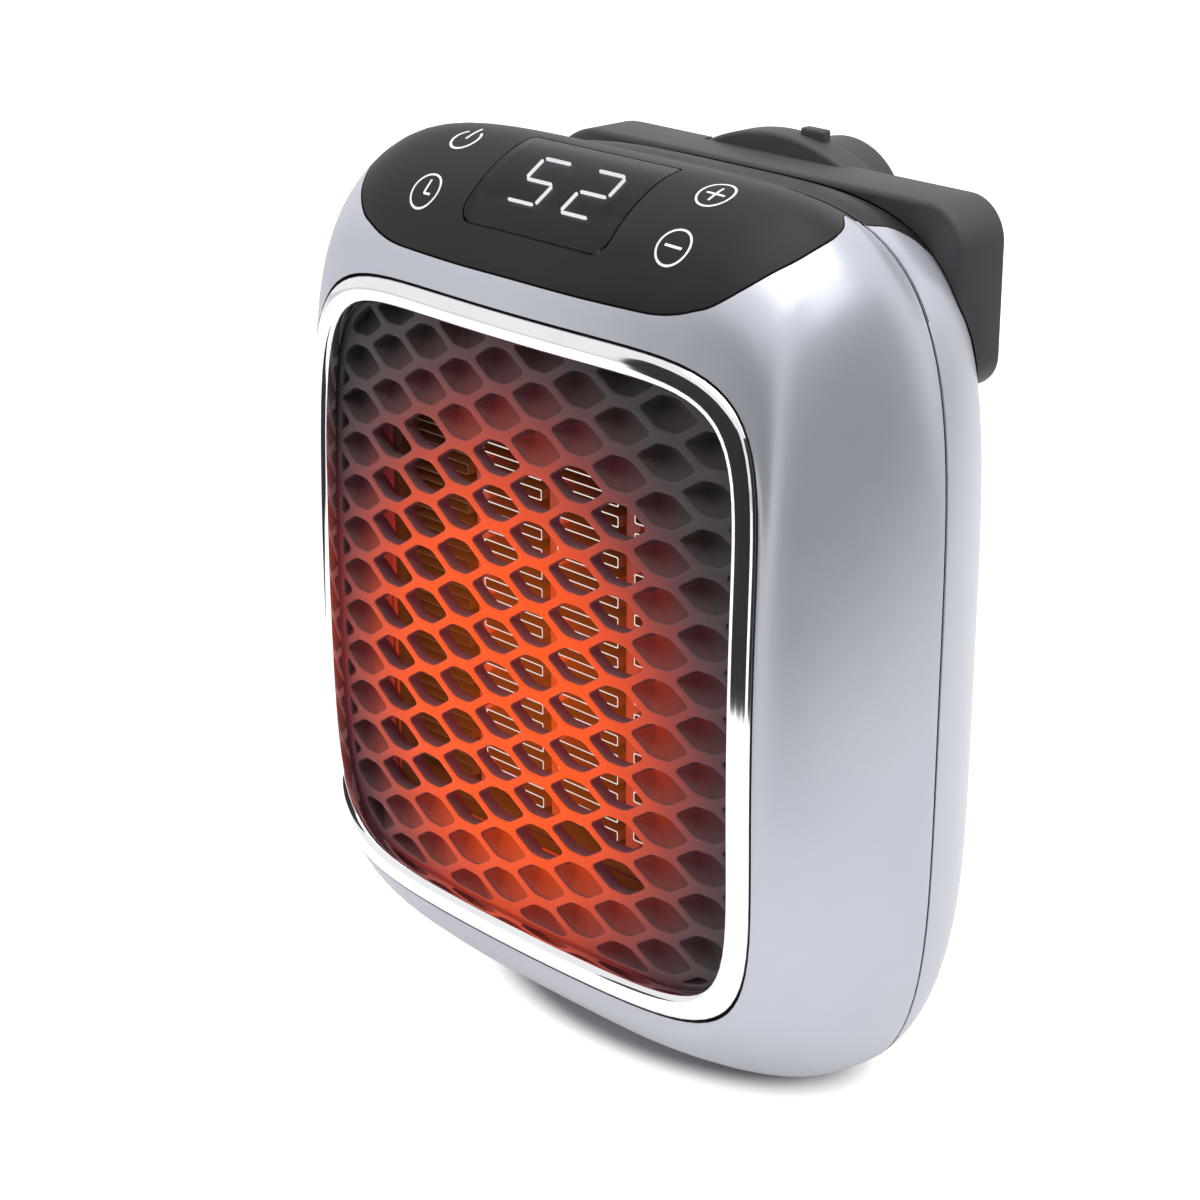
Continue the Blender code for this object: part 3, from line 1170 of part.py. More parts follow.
def make_swivel():
    """Turning part: disc with a tab and a sleeve, plug body, two blades and a retainer."""
    pivot = bpy.data.objects.new("swivel_axis", None)
    PARTS.objects.link(pivot)
    pivot.location = (0, 0, SWIVEL_HEIGHT)
    disc_rows = (
        (SWIVEL_START, SLEEVE_RADIUS), (SWIVEL_START, SWIVEL_RADIUS - SWIVEL_EDGE),
        (SWIVEL_START + SWIVEL_EDGE, SWIVEL_RADIUS), (SWIVEL_END - SWIVEL_EDGE, SWIVEL_RADIUS),
        (SWIVEL_END, SWIVEL_RADIUS - SWIVEL_EDGE), (SWIVEL_END, SLEEVE_BORE),
        (SLEEVE_END, SLEEVE_BORE), (SLEEVE_END, SLEEVE_RADIUS), (GROOVE_START, SLEEVE_RADIUS),
        (GROOVE_START, GROOVE_RADIUS), (GROOVE_END, GROOVE_RADIUS), (GROOVE_END, SLEEVE_RADIUS),
    )
    loops = [circle_loop(radius, depth) for depth, radius in disc_rows]
    disc = piece(skin(loops, True, "swivel_disc"), "swivel_disc", (0.04, 0.04, 0.045), 0.0, 0.4)
    tab = cutter(cuboid((TAB_SIDE - TAB_WIDTH / 2, SADDLE_END + GAP, SWIVEL_RADIUS - WALL),
                        (TAB_SIDE + TAB_WIDTH / 2, SWIVEL_END - SWIVEL_EDGE / 2,
                         SWIVEL_RADIUS + TAB_RISE)), "disc_tab")
    combine(disc, tab, "UNION")
    plug = make_plug_body()
    inner = GROOVE_RADIUS + GAP
    rows = ((GROOVE_START + GAP, inner), (GROOVE_START + GAP, RETAINER_RADIUS),
            (GROOVE_END - GAP, RETAINER_RADIUS), (GROOVE_END - GAP, inner))
    retainer = piece(skin([circle_loop(radius, depth) for depth, radius in rows], True, "retainer"),
                     "swivel_retainer", (0.75, 0.73, 0.68), 0.8, 0.35)
    pins = []
    for side, word in ((-1, "left"), (1, "right")):
        x = side * BLADE_SPACING / 2
        outline = [(-PIN_WIDTH / 2, PLUG_END - PIN_ROOT), (PIN_WIDTH / 2, PLUG_END - PIN_ROOT),
                   (PIN_WIDTH / 2, PLUG_END + PIN_LENGTH - PIN_TIP),
                   (PIN_WIDTH / 2 - PIN_TIP, PLUG_END + PIN_LENGTH),
                   (-PIN_WIDTH / 2 + PIN_TIP, PLUG_END + PIN_LENGTH),
                   (-PIN_WIDTH / 2, PLUG_END + PIN_LENGTH - PIN_TIP)]
        turn = Matrix(((0, 0, 1, 0), (0, 1, 0, 0), (1, 0, 0, 0), (0, 0, 0, 1)))
        shape = flat_shape([outline], PIN_THICKNESS, "blade", turn, (x - PIN_THICKNESS / 2, 0, 0))
        pins.append(piece(shape, f"plug_blade_{word}", (0.80, 0.72, 0.45), 1.0, 0.25))
    for moving in (disc, plug, retainer, *pins):
        moving.parent = pivot
    names = ("disc_", "plug_")
    for item in CUTTERS.objects:
        if item.name.startswith(names):
            item.parent = pivot


def plug_outline(inset):
    """A stadium standing up, in X and Z about the swivel's axis."""
    radius = PLUG_HALF_WIDTH - inset
    reach = PLUG_HALF_LENGTH - PLUG_HALF_WIDTH
    points = []
    for step in range(ROUND_STEPS // 2 + 1):
        angle = math.pi * step / (ROUND_STEPS // 2)
        points.append((radius * math.cos(angle), reach + radius * math.sin(angle)))
    return points + [(-x, -z) for x, z in points]


def make_plug_body():
    """Plug body: a tall rounded bar for the fingers, with slots for the two blades."""
    loops = []
    for depth, inset in ((PLUG_START, 0.0), (PLUG_END - PLUG_EDGE, 0.0),
                         (PLUG_END - PLUG_EDGE * PLUG_EDGE_SHARE, PLUG_EDGE * PLUG_EDGE_SHARE),
                         (PLUG_END, PLUG_EDGE)):
        loops.append([Vector((x, depth, z)) for x, z in plug_outline(inset)])
    body = piece(skin(loops, False, "plug_body"), "plug_body", (0.05, 0.05, 0.055), 0.0, 0.4)
    for side in (-1, 1):
        x = side * BLADE_SPACING / 2
        half_thick = PIN_THICKNESS / 2 + GAP
        half_wide = PIN_WIDTH / 2 + GAP
        slot = cutter(cuboid((x - half_thick, PLUG_START - WALL, -half_wide),
                             (x + half_thick, PLUG_END + WALL, half_wide)),
                      f"plug_slot_{side + 1}")
        combine(body, slot, "DIFFERENCE")
    return body


def make_control_board():
    """Main board on its standoffs, with the parts that switch and smooth the supply."""
    front = BOARD_BACK - BOARD_THICKNESS
    piece(cuboid((-BOARD_HALF_WIDTH, front, BOARD_LOW), (BOARD_HALF_WIDTH, BOARD_BACK, BOARD_HIGH)),
          "control_board", (0.05, 0.28, 0.12), 0.0, 0.45)
    face = front - GAP / 2
    wide, tall, deep = RELAY_SIZE
    piece(cuboid((-RELAY_SIDE - wide / 2, face - deep, PARTS_LOW - tall / 2),
                 (-RELAY_SIDE + wide / 2, face, PARTS_LOW + tall / 2)), "relay", (0.05, 0.12, 0.35))
    wide, tall, deep = CAPACITOR_SIZE
    piece(cuboid((CAPACITOR_SIDE - wide / 2, face - deep, PARTS_LOW - tall / 2),
                 (CAPACITOR_SIDE + wide / 2, face, PARTS_LOW + tall / 2)), "film_capacitor",
          (0.70, 0.52, 0.10))
    piece(rods([((COIL_SIDE, face - COIL_LENGTH, PARTS_HIGH), (COIL_SIDE, face, PARTS_HIGH),
                 COIL_RADIUS, ROUND_STEPS)]), "filter_coil", (0.55, 0.26, 0.12), 0.4, 0.4)
    piece(rods([((-CAN_SIDE, face - CAN_LENGTH, PARTS_HIGH), (-CAN_SIDE, face, PARTS_HIGH),
                 CAN_RADIUS, ROUND_STEPS)]), "smoothing_capacitor", (0.10, 0.10, 0.20), 0.2, 0.35)


def wire(points, name, colour):
    """A round insulated wire along a line of points."""
    curve = bpy.data.curves.new(name, "CURVE")
    curve.dimensions = "3D"
    curve.bevel_depth = WIRE_RADIUS
    curve.bevel_resolution = 1
    curve.use_fill_caps = True
    spline = curve.splines.new("POLY")
    spline.points.add(len(points) - 1)
    for target, point in zip(spline.points, points):
        target.co = (*point, 1)
    drawn = bpy.data.objects.new(name + "_line", curve)
    CUTTERS.objects.link(drawn)
    mesh = frozen(drawn, name)
    bpy.data.objects.remove(drawn)
    bpy.data.curves.remove(curve)
    work = bmesh.new()
    work.from_mesh(mesh)
    bpy.data.meshes.remove(mesh)
    bmesh.ops.remove_doubles(work, verts=work.verts, dist=WELD)
    piece(mesh_of(work, name), name, colour, 0.0, 0.5)


def routed(start, end, shares):
    """Points of a lead: its bends lie part way from its start to its end."""
    start, end = Vector(start), Vector(end)
    run = end - start
    bends = [start + Vector((run.x * a, run.y * b, run.z * c)) for a, b, c in shares]
    return [start, *bends, end]


def make_wiring():
    """Supply leads from the plug, and the leads to the element and the motor."""
    red, black, grey = (0.60, 0.08, 0.06), (0.05, 0.05, 0.06), (0.75, 0.75, 0.76)
    axis = SWIVEL_HEIGHT
    back = BOARD_BACK + GAP
    front = BOARD_BACK - BOARD_THICKNESS - GAP
    element_top = ELEMENT_HEIGHT + FRAME_HALF + GAP
    middle = FRAME_FRONT + FRAME_DEPTH / 2
    motor_top = ELEMENT_HEIGHT + MOTOR_RADIUS + WIRE_RADIUS + GAP
    motor_back = MOTOR_END - 2 * WIRE_RADIUS
    for side, word, colour in ((-1, "left", black), (1, "right", grey)):
        root = (side * BLADE_SPACING / 2, PLUG_END - PIN_ROOT - GAP, axis)
        end = (side * SUPPLY_END_SIDE, back, axis + SUPPLY_END_RISE)
        wire(routed(root, end, SUPPLY_SHARES), f"supply_lead_{word}", colour)
        start = (side * (CUTOUT_SIDE + CUTOUT_RADIUS + GAP), middle, element_top + 2 * WIRE_RADIUS)
        end = (side * ELEMENT_LEAD_SIDE, front, BOARD_LOW + ELEMENT_LEAD_RISE)
        wire(routed(start, end, ELEMENT_SHARES), f"element_lead_{word}", red)
        start = (side * MOTOR_LEAD_SIDE, motor_back, motor_top)
        end = (side * MOTOR_END_SIDE, back, BOARD_LOW + MOTOR_END_RISE)
        wire(routed(start, end, MOTOR_SHARES), f"motor_lead_{word}", red if side < 0 else black)


def make_case_screws():
    """The four screws that hold the rear housing to the front one."""
    for index, (x, z) in enumerate(case_post_spots()):
        tip = (x, CASE_HEAD_SEAT - CASE_SCREW_LENGTH + 2 * GAP, z)
        make_screw(tip, CASE_HEAD_SEAT + GAP / 2, f"case_screw_{index + 1}")


def centre_over_origin():
    """Slide everything along Y so that the heater's box is centred on the origin."""
    bpy.context.view_layer.update()
    view = bpy.context.evaluated_depsgraph_get()
    depths = []
    for body in PARTS.objects:
        if body.type == "MESH":
            solid = body.evaluated_get(view)
            depths += [(solid.matrix_world @ Vector(corner)).y for corner in solid.bound_box]
    shift = -(min(depths) + max(depths)) / 2
    for body in list(PARTS.objects) + list(CUTTERS.objects):
        if body.parent is None:
            body.location.y += shift


def build():
    """Clear the scene and make every piece, from the outlet back to the plug."""
    for body in list(bpy.data.objects):
        bpy.data.objects.remove(body)
    bpy.context.scene.collection.children.link(PARTS)
    bpy.context.scene.collection.children.link(CUTTERS)
    shell = make_front_shell()
    make_front_fixings(shell)
    make_bezel_ring()
    make_grille()
    make_top_panel()
    make_display_window()
    make_display()
    make_touch_board()
    make_element()
    make_air_duct()
    make_fan()
    make_motor()
    make_control_board()
    make_rear_shell()
    make_rear_cap()
    make_saddle()
    make_swivel()
    make_case_screws()
    make_wiring()
    centre_over_origin()


build()
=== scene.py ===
import math

import bmesh
import bpy
import numpy as np
from mathutils import Matrix, Vector
from mathutils.bvhtree import BVHTree
from mathutils.interpolate import poly_3d_calc


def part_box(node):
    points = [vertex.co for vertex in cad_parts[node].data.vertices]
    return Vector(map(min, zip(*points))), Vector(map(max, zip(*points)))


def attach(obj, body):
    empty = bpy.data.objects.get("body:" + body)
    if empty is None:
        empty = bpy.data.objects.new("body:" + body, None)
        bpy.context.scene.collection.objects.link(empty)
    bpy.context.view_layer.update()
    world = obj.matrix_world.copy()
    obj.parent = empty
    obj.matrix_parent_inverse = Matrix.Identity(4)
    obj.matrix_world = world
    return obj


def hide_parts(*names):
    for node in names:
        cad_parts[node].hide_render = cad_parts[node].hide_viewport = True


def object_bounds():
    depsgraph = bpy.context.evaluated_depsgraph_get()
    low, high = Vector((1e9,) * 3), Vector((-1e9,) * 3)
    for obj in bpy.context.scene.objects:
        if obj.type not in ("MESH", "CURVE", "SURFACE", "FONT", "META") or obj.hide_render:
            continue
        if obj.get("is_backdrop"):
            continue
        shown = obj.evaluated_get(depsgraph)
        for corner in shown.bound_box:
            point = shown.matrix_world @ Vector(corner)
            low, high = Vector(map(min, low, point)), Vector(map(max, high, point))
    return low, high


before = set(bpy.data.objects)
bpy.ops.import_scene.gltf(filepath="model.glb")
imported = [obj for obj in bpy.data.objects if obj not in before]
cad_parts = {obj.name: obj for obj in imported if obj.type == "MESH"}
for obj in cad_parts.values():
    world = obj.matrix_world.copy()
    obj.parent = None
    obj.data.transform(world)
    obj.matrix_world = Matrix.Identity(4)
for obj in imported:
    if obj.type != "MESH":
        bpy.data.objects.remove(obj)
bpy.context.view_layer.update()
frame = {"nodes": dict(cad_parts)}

# Front housing: one thick moulding in rigid plastic, sprayed silver under a clear coat.
# Its skin is lofted round the waist through measured loops, then the seat of the ring,
# the recess of the touch panel and the hole for the display are cut into it.
node = frame["nodes"]
FACE_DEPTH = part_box("plug_blade_left")[1].y - 0.0970
WAIST, OUTLET, CROWN = 0.0748, 0.0768, 0.1530
HALF_WIDTH, BACK = 0.0576, 0.0600
OUTLET_HALF, OUTLET_RISE = 0.0475, 0.0500
SIDE_FALL, TOP_FALL = 0.0028, 0.0018
WALL, FIT, OVERLAY = 0.0026, 0.0003, 0.0010
EDGE, SOFT, SOFT_BACK = 0.00022, 0.00007, 0.00006
AROUND, ALONG = 15, 5


def bow(x, z):
    """How far the bowed front falls back at a place."""
    return SIDE_FALL * (x / OUTLET_HALF) ** 2 + TOP_FALL * ((z - OUTLET) / OUTLET_RISE) ** 2


def quarter_round(power):
    """Points of one rounded corner, closer together where it turns."""
    top = 2.0 ** (-1.0 / power)
    octant = []
    for step in range(AROUND + 1):
        rise = top * (1.0 - (1.0 - step / AROUND) ** 1.6)
        octant.append(((1.0 - rise ** power) ** (1.0 / power), rise))
    return octant + [(b, a) for a, b in reversed(octant[:-1])]


def full_round(power_top, power_bottom):
    """A whole outline, with its own corners above and below the waist."""
    top, low = quarter_round(power_top), quarter_round(power_bottom)
    points = top + [(-a, b) for a, b in reversed(top[:-1])]
    return points + [(-a, -b) for a, b in low[1:]] + [(a, -b) for a, b in reversed(low[1:-1])]


def waist_loop(depth, bow_share, half, up, down, power_top, power_bottom, inset=0.0):
    """A loop of the housing about its waist."""
    loop = []
    for a, b in full_round(power_top, power_bottom):
        x, z = (half - inset) * a, WAIST + ((up if b > 0 else down) - inset) * b
        loop.append((x, FACE_DEPTH + depth + bow_share * bow(x, z), z))
    return np.array(loop)


def outlet_flat(outset, power):
    """The outlet's outline as flat points about its middle."""
    return [((OUTLET_HALF + outset) * a, (OUTLET_RISE + outset) * b)
            for a, b in full_round(power, power)]


def outlet_loop(outset, depth, power):
    """A loop round the outlet that follows the bowed front."""
    return np.array([(x, FACE_DEPTH + depth + bow(x, OUTLET + z), OUTLET + z)
                     for x, z in outlet_flat(outset, power)])


def natural_curve(knots, values, places):
    """A smooth curve through the values, free at both ends."""
    gap = np.diff(knots)
    flat = values.reshape(len(knots), -1)
    matrix = np.eye(len(knots))
    right = np.zeros_like(flat)
    slope = np.diff(flat, axis=0) / gap[:, None]
    for k in range(1, len(knots) - 1):
        matrix[k, k - 1:k + 2] = gap[k - 1], 2 * (gap[k - 1] + gap[k]), gap[k]
        right[k] = 6 * (slope[k] - slope[k - 1])
    bend = np.linalg.solve(matrix, right)
    made = []
    for place in places:
        k = min(max(int(np.searchsorted(knots, place)) - 1, 0), len(gap) - 1)
        a, b = (knots[k + 1] - place) / gap[k], (place - knots[k]) / gap[k]
        made.append(a * flat[k] + b * flat[k + 1]
                    + ((a ** 3 - a) * bend[k] + (b ** 3 - b) * bend[k + 1]) * gap[k] ** 2 / 6)
    return np.array(made).reshape((len(places),) + values.shape[1:])


# depth, share of the bow, half width, rise, drop, corner powers above and below
front_rows = (
    (0.0005, 1.00, 0.0525, 0.0615, 0.0550, 6.00, 5.40),
    (0.0030, 0.60, 0.0533, 0.0650, 0.0577, 6.20, 4.70),
    (0.0063, 0.35, 0.0546, 0.0692, 0.0604, 6.30, 4.30),
    (0.0104, 0.20, 0.0558, 0.0729, 0.0638, 6.30, 4.15),
    (0.0160, 0.00, 0.0567, 0.0761, 0.0671, 6.20, 4.25),
    (0.0220, 0.00, 0.0573, 0.0782, 0.0703, 6.00, 4.60),
    (0.0290, 0.00, 0.0576, 0.0776, 0.0728, 5.60, 4.95),
    (0.0355, 0.00, 0.0574, 0.0754, 0.0741, 4.90, 5.00),
    (0.0400, 0.00, 0.0570, 0.0740, 0.0748, 4.30, 5.00),
)
rear_rows = (
    (0.0440, 0.00, 0.0562, 0.0739, 0.0746, 4.20, 5.00),
    (0.0480, 0.00, 0.0550, 0.0732, 0.0734, 4.20, 5.00),
    (0.0520, 0.00, 0.0532, 0.0719, 0.0712, 4.20, 5.00),
    (0.0550, 0.00, 0.0514, 0.0704, 0.0688, 4.20, 5.00),
    (0.0575, 0.00, 0.0494, 0.0682, 0.0662, 4.20, 5.00),
    (0.0593, 0.00, 0.0465, 0.0653, 0.0632, 4.20, 5.00),
    (0.0600, 0.00, 0.0425, 0.0615, 0.0595, 4.20, 5.00),
)
seat_outset, seat_power = 0.0046, 6.3
measured = [outlet_loop(seat_outset + 0.0001, 0.0, seat_power)]
measured += [waist_loop(*row) for row in front_rows + rear_rows]
measured = np.array(measured)
knots = np.concatenate([[0.0], np.cumsum(
    np.linalg.norm(np.diff(measured, axis=0), axis=2).mean(axis=1))])
places = np.concatenate([np.linspace(a, b, ALONG, endpoint=False)
                         for a, b in zip(knots, knots[1:])] + [[knots[-1]]])
body_skin = natural_curve(knots, measured, places)
body_skin[:, :, 0] *= HALF_WIDTH / np.abs(body_skin[:, :, 0]).max()
above = body_skin[:, :, 2] > WAIST
rise = body_skin[:, :, 2] - WAIST
rise = np.where(above, rise * (CROWN - WAIST) / rise.max(), rise * WAIST / -rise.min())
body_skin[:, :, 2] = WAIST + rise
body_skin[:, :, 1] = np.minimum(body_skin[:, :, 1], FACE_DEPTH + BACK)
seam_row = ALONG * len(front_rows)
round_step = np.roll(body_skin, -1, axis=1) - np.roll(body_skin, 1, axis=1)
back_step = np.gradient(body_skin, axis=0)
skin_normal = np.cross(back_step, round_step)
skin_normal /= np.linalg.norm(skin_normal, axis=2, keepdims=True)
if skin_normal[seam_row, 0, 0] < 0:
    skin_normal = -skin_normal


def mesh_of(work, name):
    """The finished mesh of a body under work, with its faces turned outwards."""
    bmesh.ops.recalc_face_normals(work, faces=work.faces)
    mesh = bpy.data.meshes.new(name)
    work.to_mesh(mesh)
    work.free()
    return mesh


def skinned(work, rings, closed):
    """Faces from ring to ring of corners, closed round or filled at both ends."""
    for near, far in zip(rings, rings[1:] + rings[:1] if closed else rings[1:]):
        for k in range(len(near)):
            after = (k + 1) % len(near)
            work.faces.new((near[k], near[after], far[after], far[k]))
    if not closed:
        work.faces.new(rings[0])
        work.faces.new(rings[-1])


def mesh_from_loops(loops, closed, name):
    """A body skinned from loop to loop."""
    work = bmesh.new()
    skinned(work, [[work.verts.new(point) for point in loop] for loop in loops], closed)
    return mesh_of(work, name)


def shown(data):
    """Put a mesh, curve, lamp or camera in the scene under its own name."""
    body = bpy.data.objects.new(data.name, data)
    bpy.context.scene.collection.objects.link(body)
    return body


def worked_out(body):
    """The mesh that an object comes to with its cuts or its curve's thickness."""
    bpy.context.view_layer.update()
    view = bpy.context.evaluated_depsgraph_get()
    return bpy.data.meshes.new_from_object(body.evaluated_get(view))


def carve(body, tools):
    """Work out a list of exact Booleans on a body and drop the tools."""
    for tool, how in tools:
        step = body.modifiers.new("cut", "BOOLEAN")
        step.operation, step.solver, step.object = how, "EXACT", tool
    mesh = worked_out(body)
    body.modifiers.clear()
    old, body.data = body.data, mesh
    bpy.data.meshes.remove(old)
    for tool, how in tools:
        bpy.data.objects.remove(tool)


def joined(body, others):
    """Add further closed bodies to a piece's mesh."""
    work = bmesh.new()
    work.from_mesh(body.data)
    for other in others:
        work.from_mesh(other)
        bpy.data.meshes.remove(other)
    work.to_mesh(body.data)
    work.free()


def rounded(body, angle=34.0):
    """Smooth faces, with an edge kept crisp where it turns by more than the angle."""
    for face in body.data.polygons:
        face.use_smooth = True
    body.data.set_sharp_from_angle(angle=math.radians(angle))
    return body


count = body_skin.shape[1]
flat_skin = [Vector(point) for point in body_skin.reshape(-1, 3)]
flat_normal = [Vector(normal) for normal in skin_normal.reshape(-1, 3)]
skin_quads = [(row * count + k, row * count + (k + 1) % count,
               (row + 1) * count + (k + 1) % count, (row + 1) * count + k)
              for row in range(body_skin.shape[0] - 1) for k in range(count)]
skin_tree = BVHTree.FromPolygons(flat_skin, skin_quads)


def smooth_as_skin(body, paint_depth=1.0):
    """Shade outer faces as the uncut skin is shaded; deeper ones take the second finish."""
    on_skin, along_skin = 0.00006, 0.97
    rounded(body)
    mesh = body.data
    normals = [corner.vector.copy() for corner in mesh.corner_normals]
    for face in mesh.polygons:
        spot, way, index, far = skin_tree.find_nearest(face.center)
        flat_back = face.center.y > FACE_DEPTH + BACK - 0.0001 and face.normal.y > 0.9
        # Faces deeper than the paint depth take the dark second finish: bare plastic, and painted
        # shade in the seam gap, slots and wells.
        face.material_index = 1 if far > paint_depth and not flat_back else 0
        if far > on_skin or abs(way.dot(face.normal)) < along_skin:
            continue
        for loop in face.loop_indices:
            point = mesh.vertices[mesh.loops[loop].vertex_index].co
            spot, way, index, far = skin_tree.find_nearest(point)
            quad = skin_quads[index]
            shares = poly_3d_calc([flat_skin[k] for k in quad], spot)
            normals[loop] = sum((flat_normal[k] * share for k, share in zip(quad, shares)),
                                Vector()).normalized()
    mesh.normals_split_custom_set(normals)


def preset(node, **inputs):
    """Set some inputs of a shader node by name."""
    for label, value in inputs.items():
        node.inputs[label.replace("_", " ")].default_value = value
    return node


def added(tree, kind, setting=(), **inputs):
    """A new shader node, with one of its settings and some of its inputs given."""
    fresh = tree.nodes.new("ShaderNode" + kind)
    if setting:
        setattr(fresh, *setting)
    return preset(fresh, **inputs)


def ramp_of(tree, stops):
    """A colour ramp with its stops given as place and colour."""
    colours = added(tree, "ValToRGB")
    ramp = colours.color_ramp
    while len(ramp.elements) < len(stops):
        ramp.elements.new(0.5)
    for element, (place, colour) in zip(ramp.elements, stops):
        element.position = place
        element.color = (*colour, 1.0)
    return colours


def linked(tree, *links):
    """Links between nodes, each given as node, output, node, input."""
    for start, output, end, into in links:
        tree.links.new(start.outputs[output], end.inputs[into])


def value_group(name, inputs, outputs):
    """A shader group that gives values, colours or masks which change over a surface."""
    group = bpy.data.node_groups.new(name, "ShaderNodeTree")
    for label, start in inputs:
        group.interface.new_socket(label, in_out="INPUT",
                                   socket_type="NodeSocketFloat").default_value = start
    for label in outputs:
        group.interface.new_socket(label, in_out="OUTPUT", socket_type="NodeSocketFloat")
    return group, group.nodes.new("NodeGroupInput"), group.nodes.new("NodeGroupOutput")


# Moulded grain: a broad tone for colour and gloss, and a fine height for the bump
moulded_grain, given, out = value_group("moulded_grain", [("Grain", 900.0), ("Cloud", 40.0)],
                                        ["Tone", "Height"])
where = added(moulded_grain, "TexCoord")
for socket, detail, label in (("Cloud", 3.0, "Tone"), ("Grain", 2.0, "Height")):
    noise = added(moulded_grain, "TexNoise", Detail=detail)
    linked(moulded_grain, (where, "Object", noise, "Vector"), (given, socket, noise, "Scale"),
           (noise, "Fac", out, label))


def finish_of(name, dark, pale, gloss, grain=900.0, cloud=40.0, bump=0.10, height=0.00002,
              **plain):
    """A finish whose tone and gloss drift over the surface, with a fine bump."""
    made = bpy.data.materials.new(name)
    made.use_nodes = True
    tree = made.node_tree
    shader = tree.nodes["Principled BSDF"]
    source = added(tree, "Group", ("node_tree", moulded_grain), Grain=grain, Cloud=cloud)
    colours = ramp_of(tree, ((0.30, dark), (0.70, pale)))
    shine = added(tree, "MapRange", From_Min=0.3, From_Max=0.7, To_Min=gloss[0], To_Max=gloss[1])
    raised = added(tree, "Bump", Strength=bump, Distance=height)
    linked(tree, (source, "Tone", colours, "Fac"), (colours, "Color", shader, "Base Color"),
           (source, "Tone", shine, "Value"), (shine, "Result", shader, "Roughness"),
           (source, "Height", raised, "Height"), (raised, "Normal", shader, "Normal"))
    preset(shader, **plain)
    return made


def finished(body, name, slot, *materials, rides="housing", stands_for=()):
    """Give a piece its name, finish and body, and hide the frame nodes that it stands for; the slot is
    not used.
    """
    body.name = name
    body.data.name = name
    places = [face.material_index for face in body.data.polygons]
    body.data.materials.clear()
    for material in materials:
        body.data.materials.append(material)
    body.data.polygons.foreach_set("material_index", places)
    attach(body, rides)
    if stands_for:
        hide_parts(*stands_for)


silver = finish_of("silver_paint", (0.45, 0.465, 0.525), (0.51, 0.525, 0.585), (0.36, 0.42),
                   grain=5200.0, cloud=26.0, bump=0.16,
                   Metallic=0.55, Coat_Weight=0.12, Coat_Roughness=0.15)
# Bare dark plastic below the paint: partly the real unpainted inside, partly painted shade that
# darkens the seam gap, slots, wells and recesses.
bare_plastic_and_recess_shade = finish_of("unpainted_plastic_and_recess_shade", (0.030, 0.030, 0.032), (0.045, 0.045, 0.047),
                         (0.48, 0.60), grain=2400.0, cloud=90.0, bump=0.2, height=0.00003)


def arc(x, y, radius, first, last, steps=48):
    """Points of an arc on a plane, in degrees."""
    turns = [math.radians(first + (last - first) * k / steps) for k in range(steps + 1)]
    return [(x + radius * math.cos(turn), y + radius * math.sin(turn)) for turn in turns]


def turned(rows, x, z, steps, name, closed=True):
    """A body of revolution about an axis along the depth: depth and radius rows."""
    loops = [[(a, FACE_DEPTH + depth, b) for a, b in arc(x, z, radius, 0, 360, steps)[:-1]]
             for depth, radius in rows]
    return mesh_from_loops(loops, closed, name)


def tube(x, z, start, end, outer, bore):
    """A hollow round post along the depth."""
    return turned([(start, outer), (end, outer), (end, bore), (start, bore)], x, z, 28, "tube")


def block(low, high, edge=0.0):
    """A block between two corners given as x, depth and height, with softened edges."""
    low, high = [Vector((x, FACE_DEPTH + depth, z)) for x, depth, z in (low, high)]
    work = bmesh.new()
    bmesh.ops.create_cube(work, size=1.0)
    bmesh.ops.scale(work, vec=high - low, verts=work.verts)
    bmesh.ops.translate(work, vec=(low + high) / 2, verts=work.verts)
    if edge:
        bmesh.ops.bevel(work, geom=work.edges, offset=edge, segments=3, profile=0.5,
                        affect="EDGES", clamp_overlap=True)
    return mesh_of(work, "block")


def drawn(outlines, depth, name, turn, lift=0.0, edge=0.0):
    """Closed outlines on a plane, thickened by the depth from the lift up, then turned."""
    curve = bpy.data.curves.new(name, "CURVE")
    curve.dimensions = "2D"
    curve.fill_mode = "BOTH"
    curve.extrude = depth / 2 - edge
    curve.bevel_depth = edge
    curve.bevel_resolution = 2
    curve.offset = -edge
    for outline in outlines:
        spline = curve.splines.new("POLY")
        spline.points.add(len(outline) - 1)
        for point, (x, y) in zip(spline.points, outline):
            point.co = (x, y, 0, 1)
        spline.use_cyclic_u = True
    carrier = shown(curve)
    flat = worked_out(carrier)
    bpy.data.objects.remove(carrier)
    bpy.data.curves.remove(curve)
    work = bmesh.new()
    work.from_mesh(flat)
    bpy.data.meshes.remove(flat)
    bmesh.ops.remove_doubles(work, verts=work.verts, dist=0.000004)
    bmesh.ops.translate(work, vec=(0, 0, depth / 2), verts=work.verts)
    bmesh.ops.transform(work, matrix=turn @ Matrix.Translation((0, 0, lift)), verts=work.verts)
    return mesh_of(work, name)


# The touch panel's slope: x across, run up the slope, lift square to it
slope_turn = (Matrix.Translation((0, FACE_DEPTH, OUTLET))
              @ Matrix.Rotation(math.radians(32.0), 4, "X"))
panel_half, panel_front, panel_long, past_seam = 0.0477, 0.0344, 0.0346, 0.0060
panel_shares = ((0.00, 0.000), (0.28, 0.004), (0.52, 0.020), (0.63, 0.034), (0.715, 0.060),
                (0.785, 0.095), (0.835, 0.130), (0.905, 0.225), (0.960, 0.350), (0.990, 0.455),
                (1.000, 0.570), (0.990, 0.680), (0.945, 0.790), (0.870, 0.885), (0.785, 1.000))
panel_curve = natural_curve(np.arange(len(panel_shares), dtype=float), np.array(panel_shares),
                            np.linspace(0, len(panel_shares) - 1, 57))


def panel_outline(grow):
    """The panel's outline on its slope, carried on past the seam."""
    half = [(panel_half * min(a, 1.0) + grow * a, panel_front + panel_long * b - grow * (1 - b))
            for a, b in panel_curve]
    half[0] = (0.0, half[0][1])
    half.append((half[-1][0] - past_seam / 2, half[-1][1] + past_seam))
    return half + [(-x, run) for x, run in reversed(half[1:])]


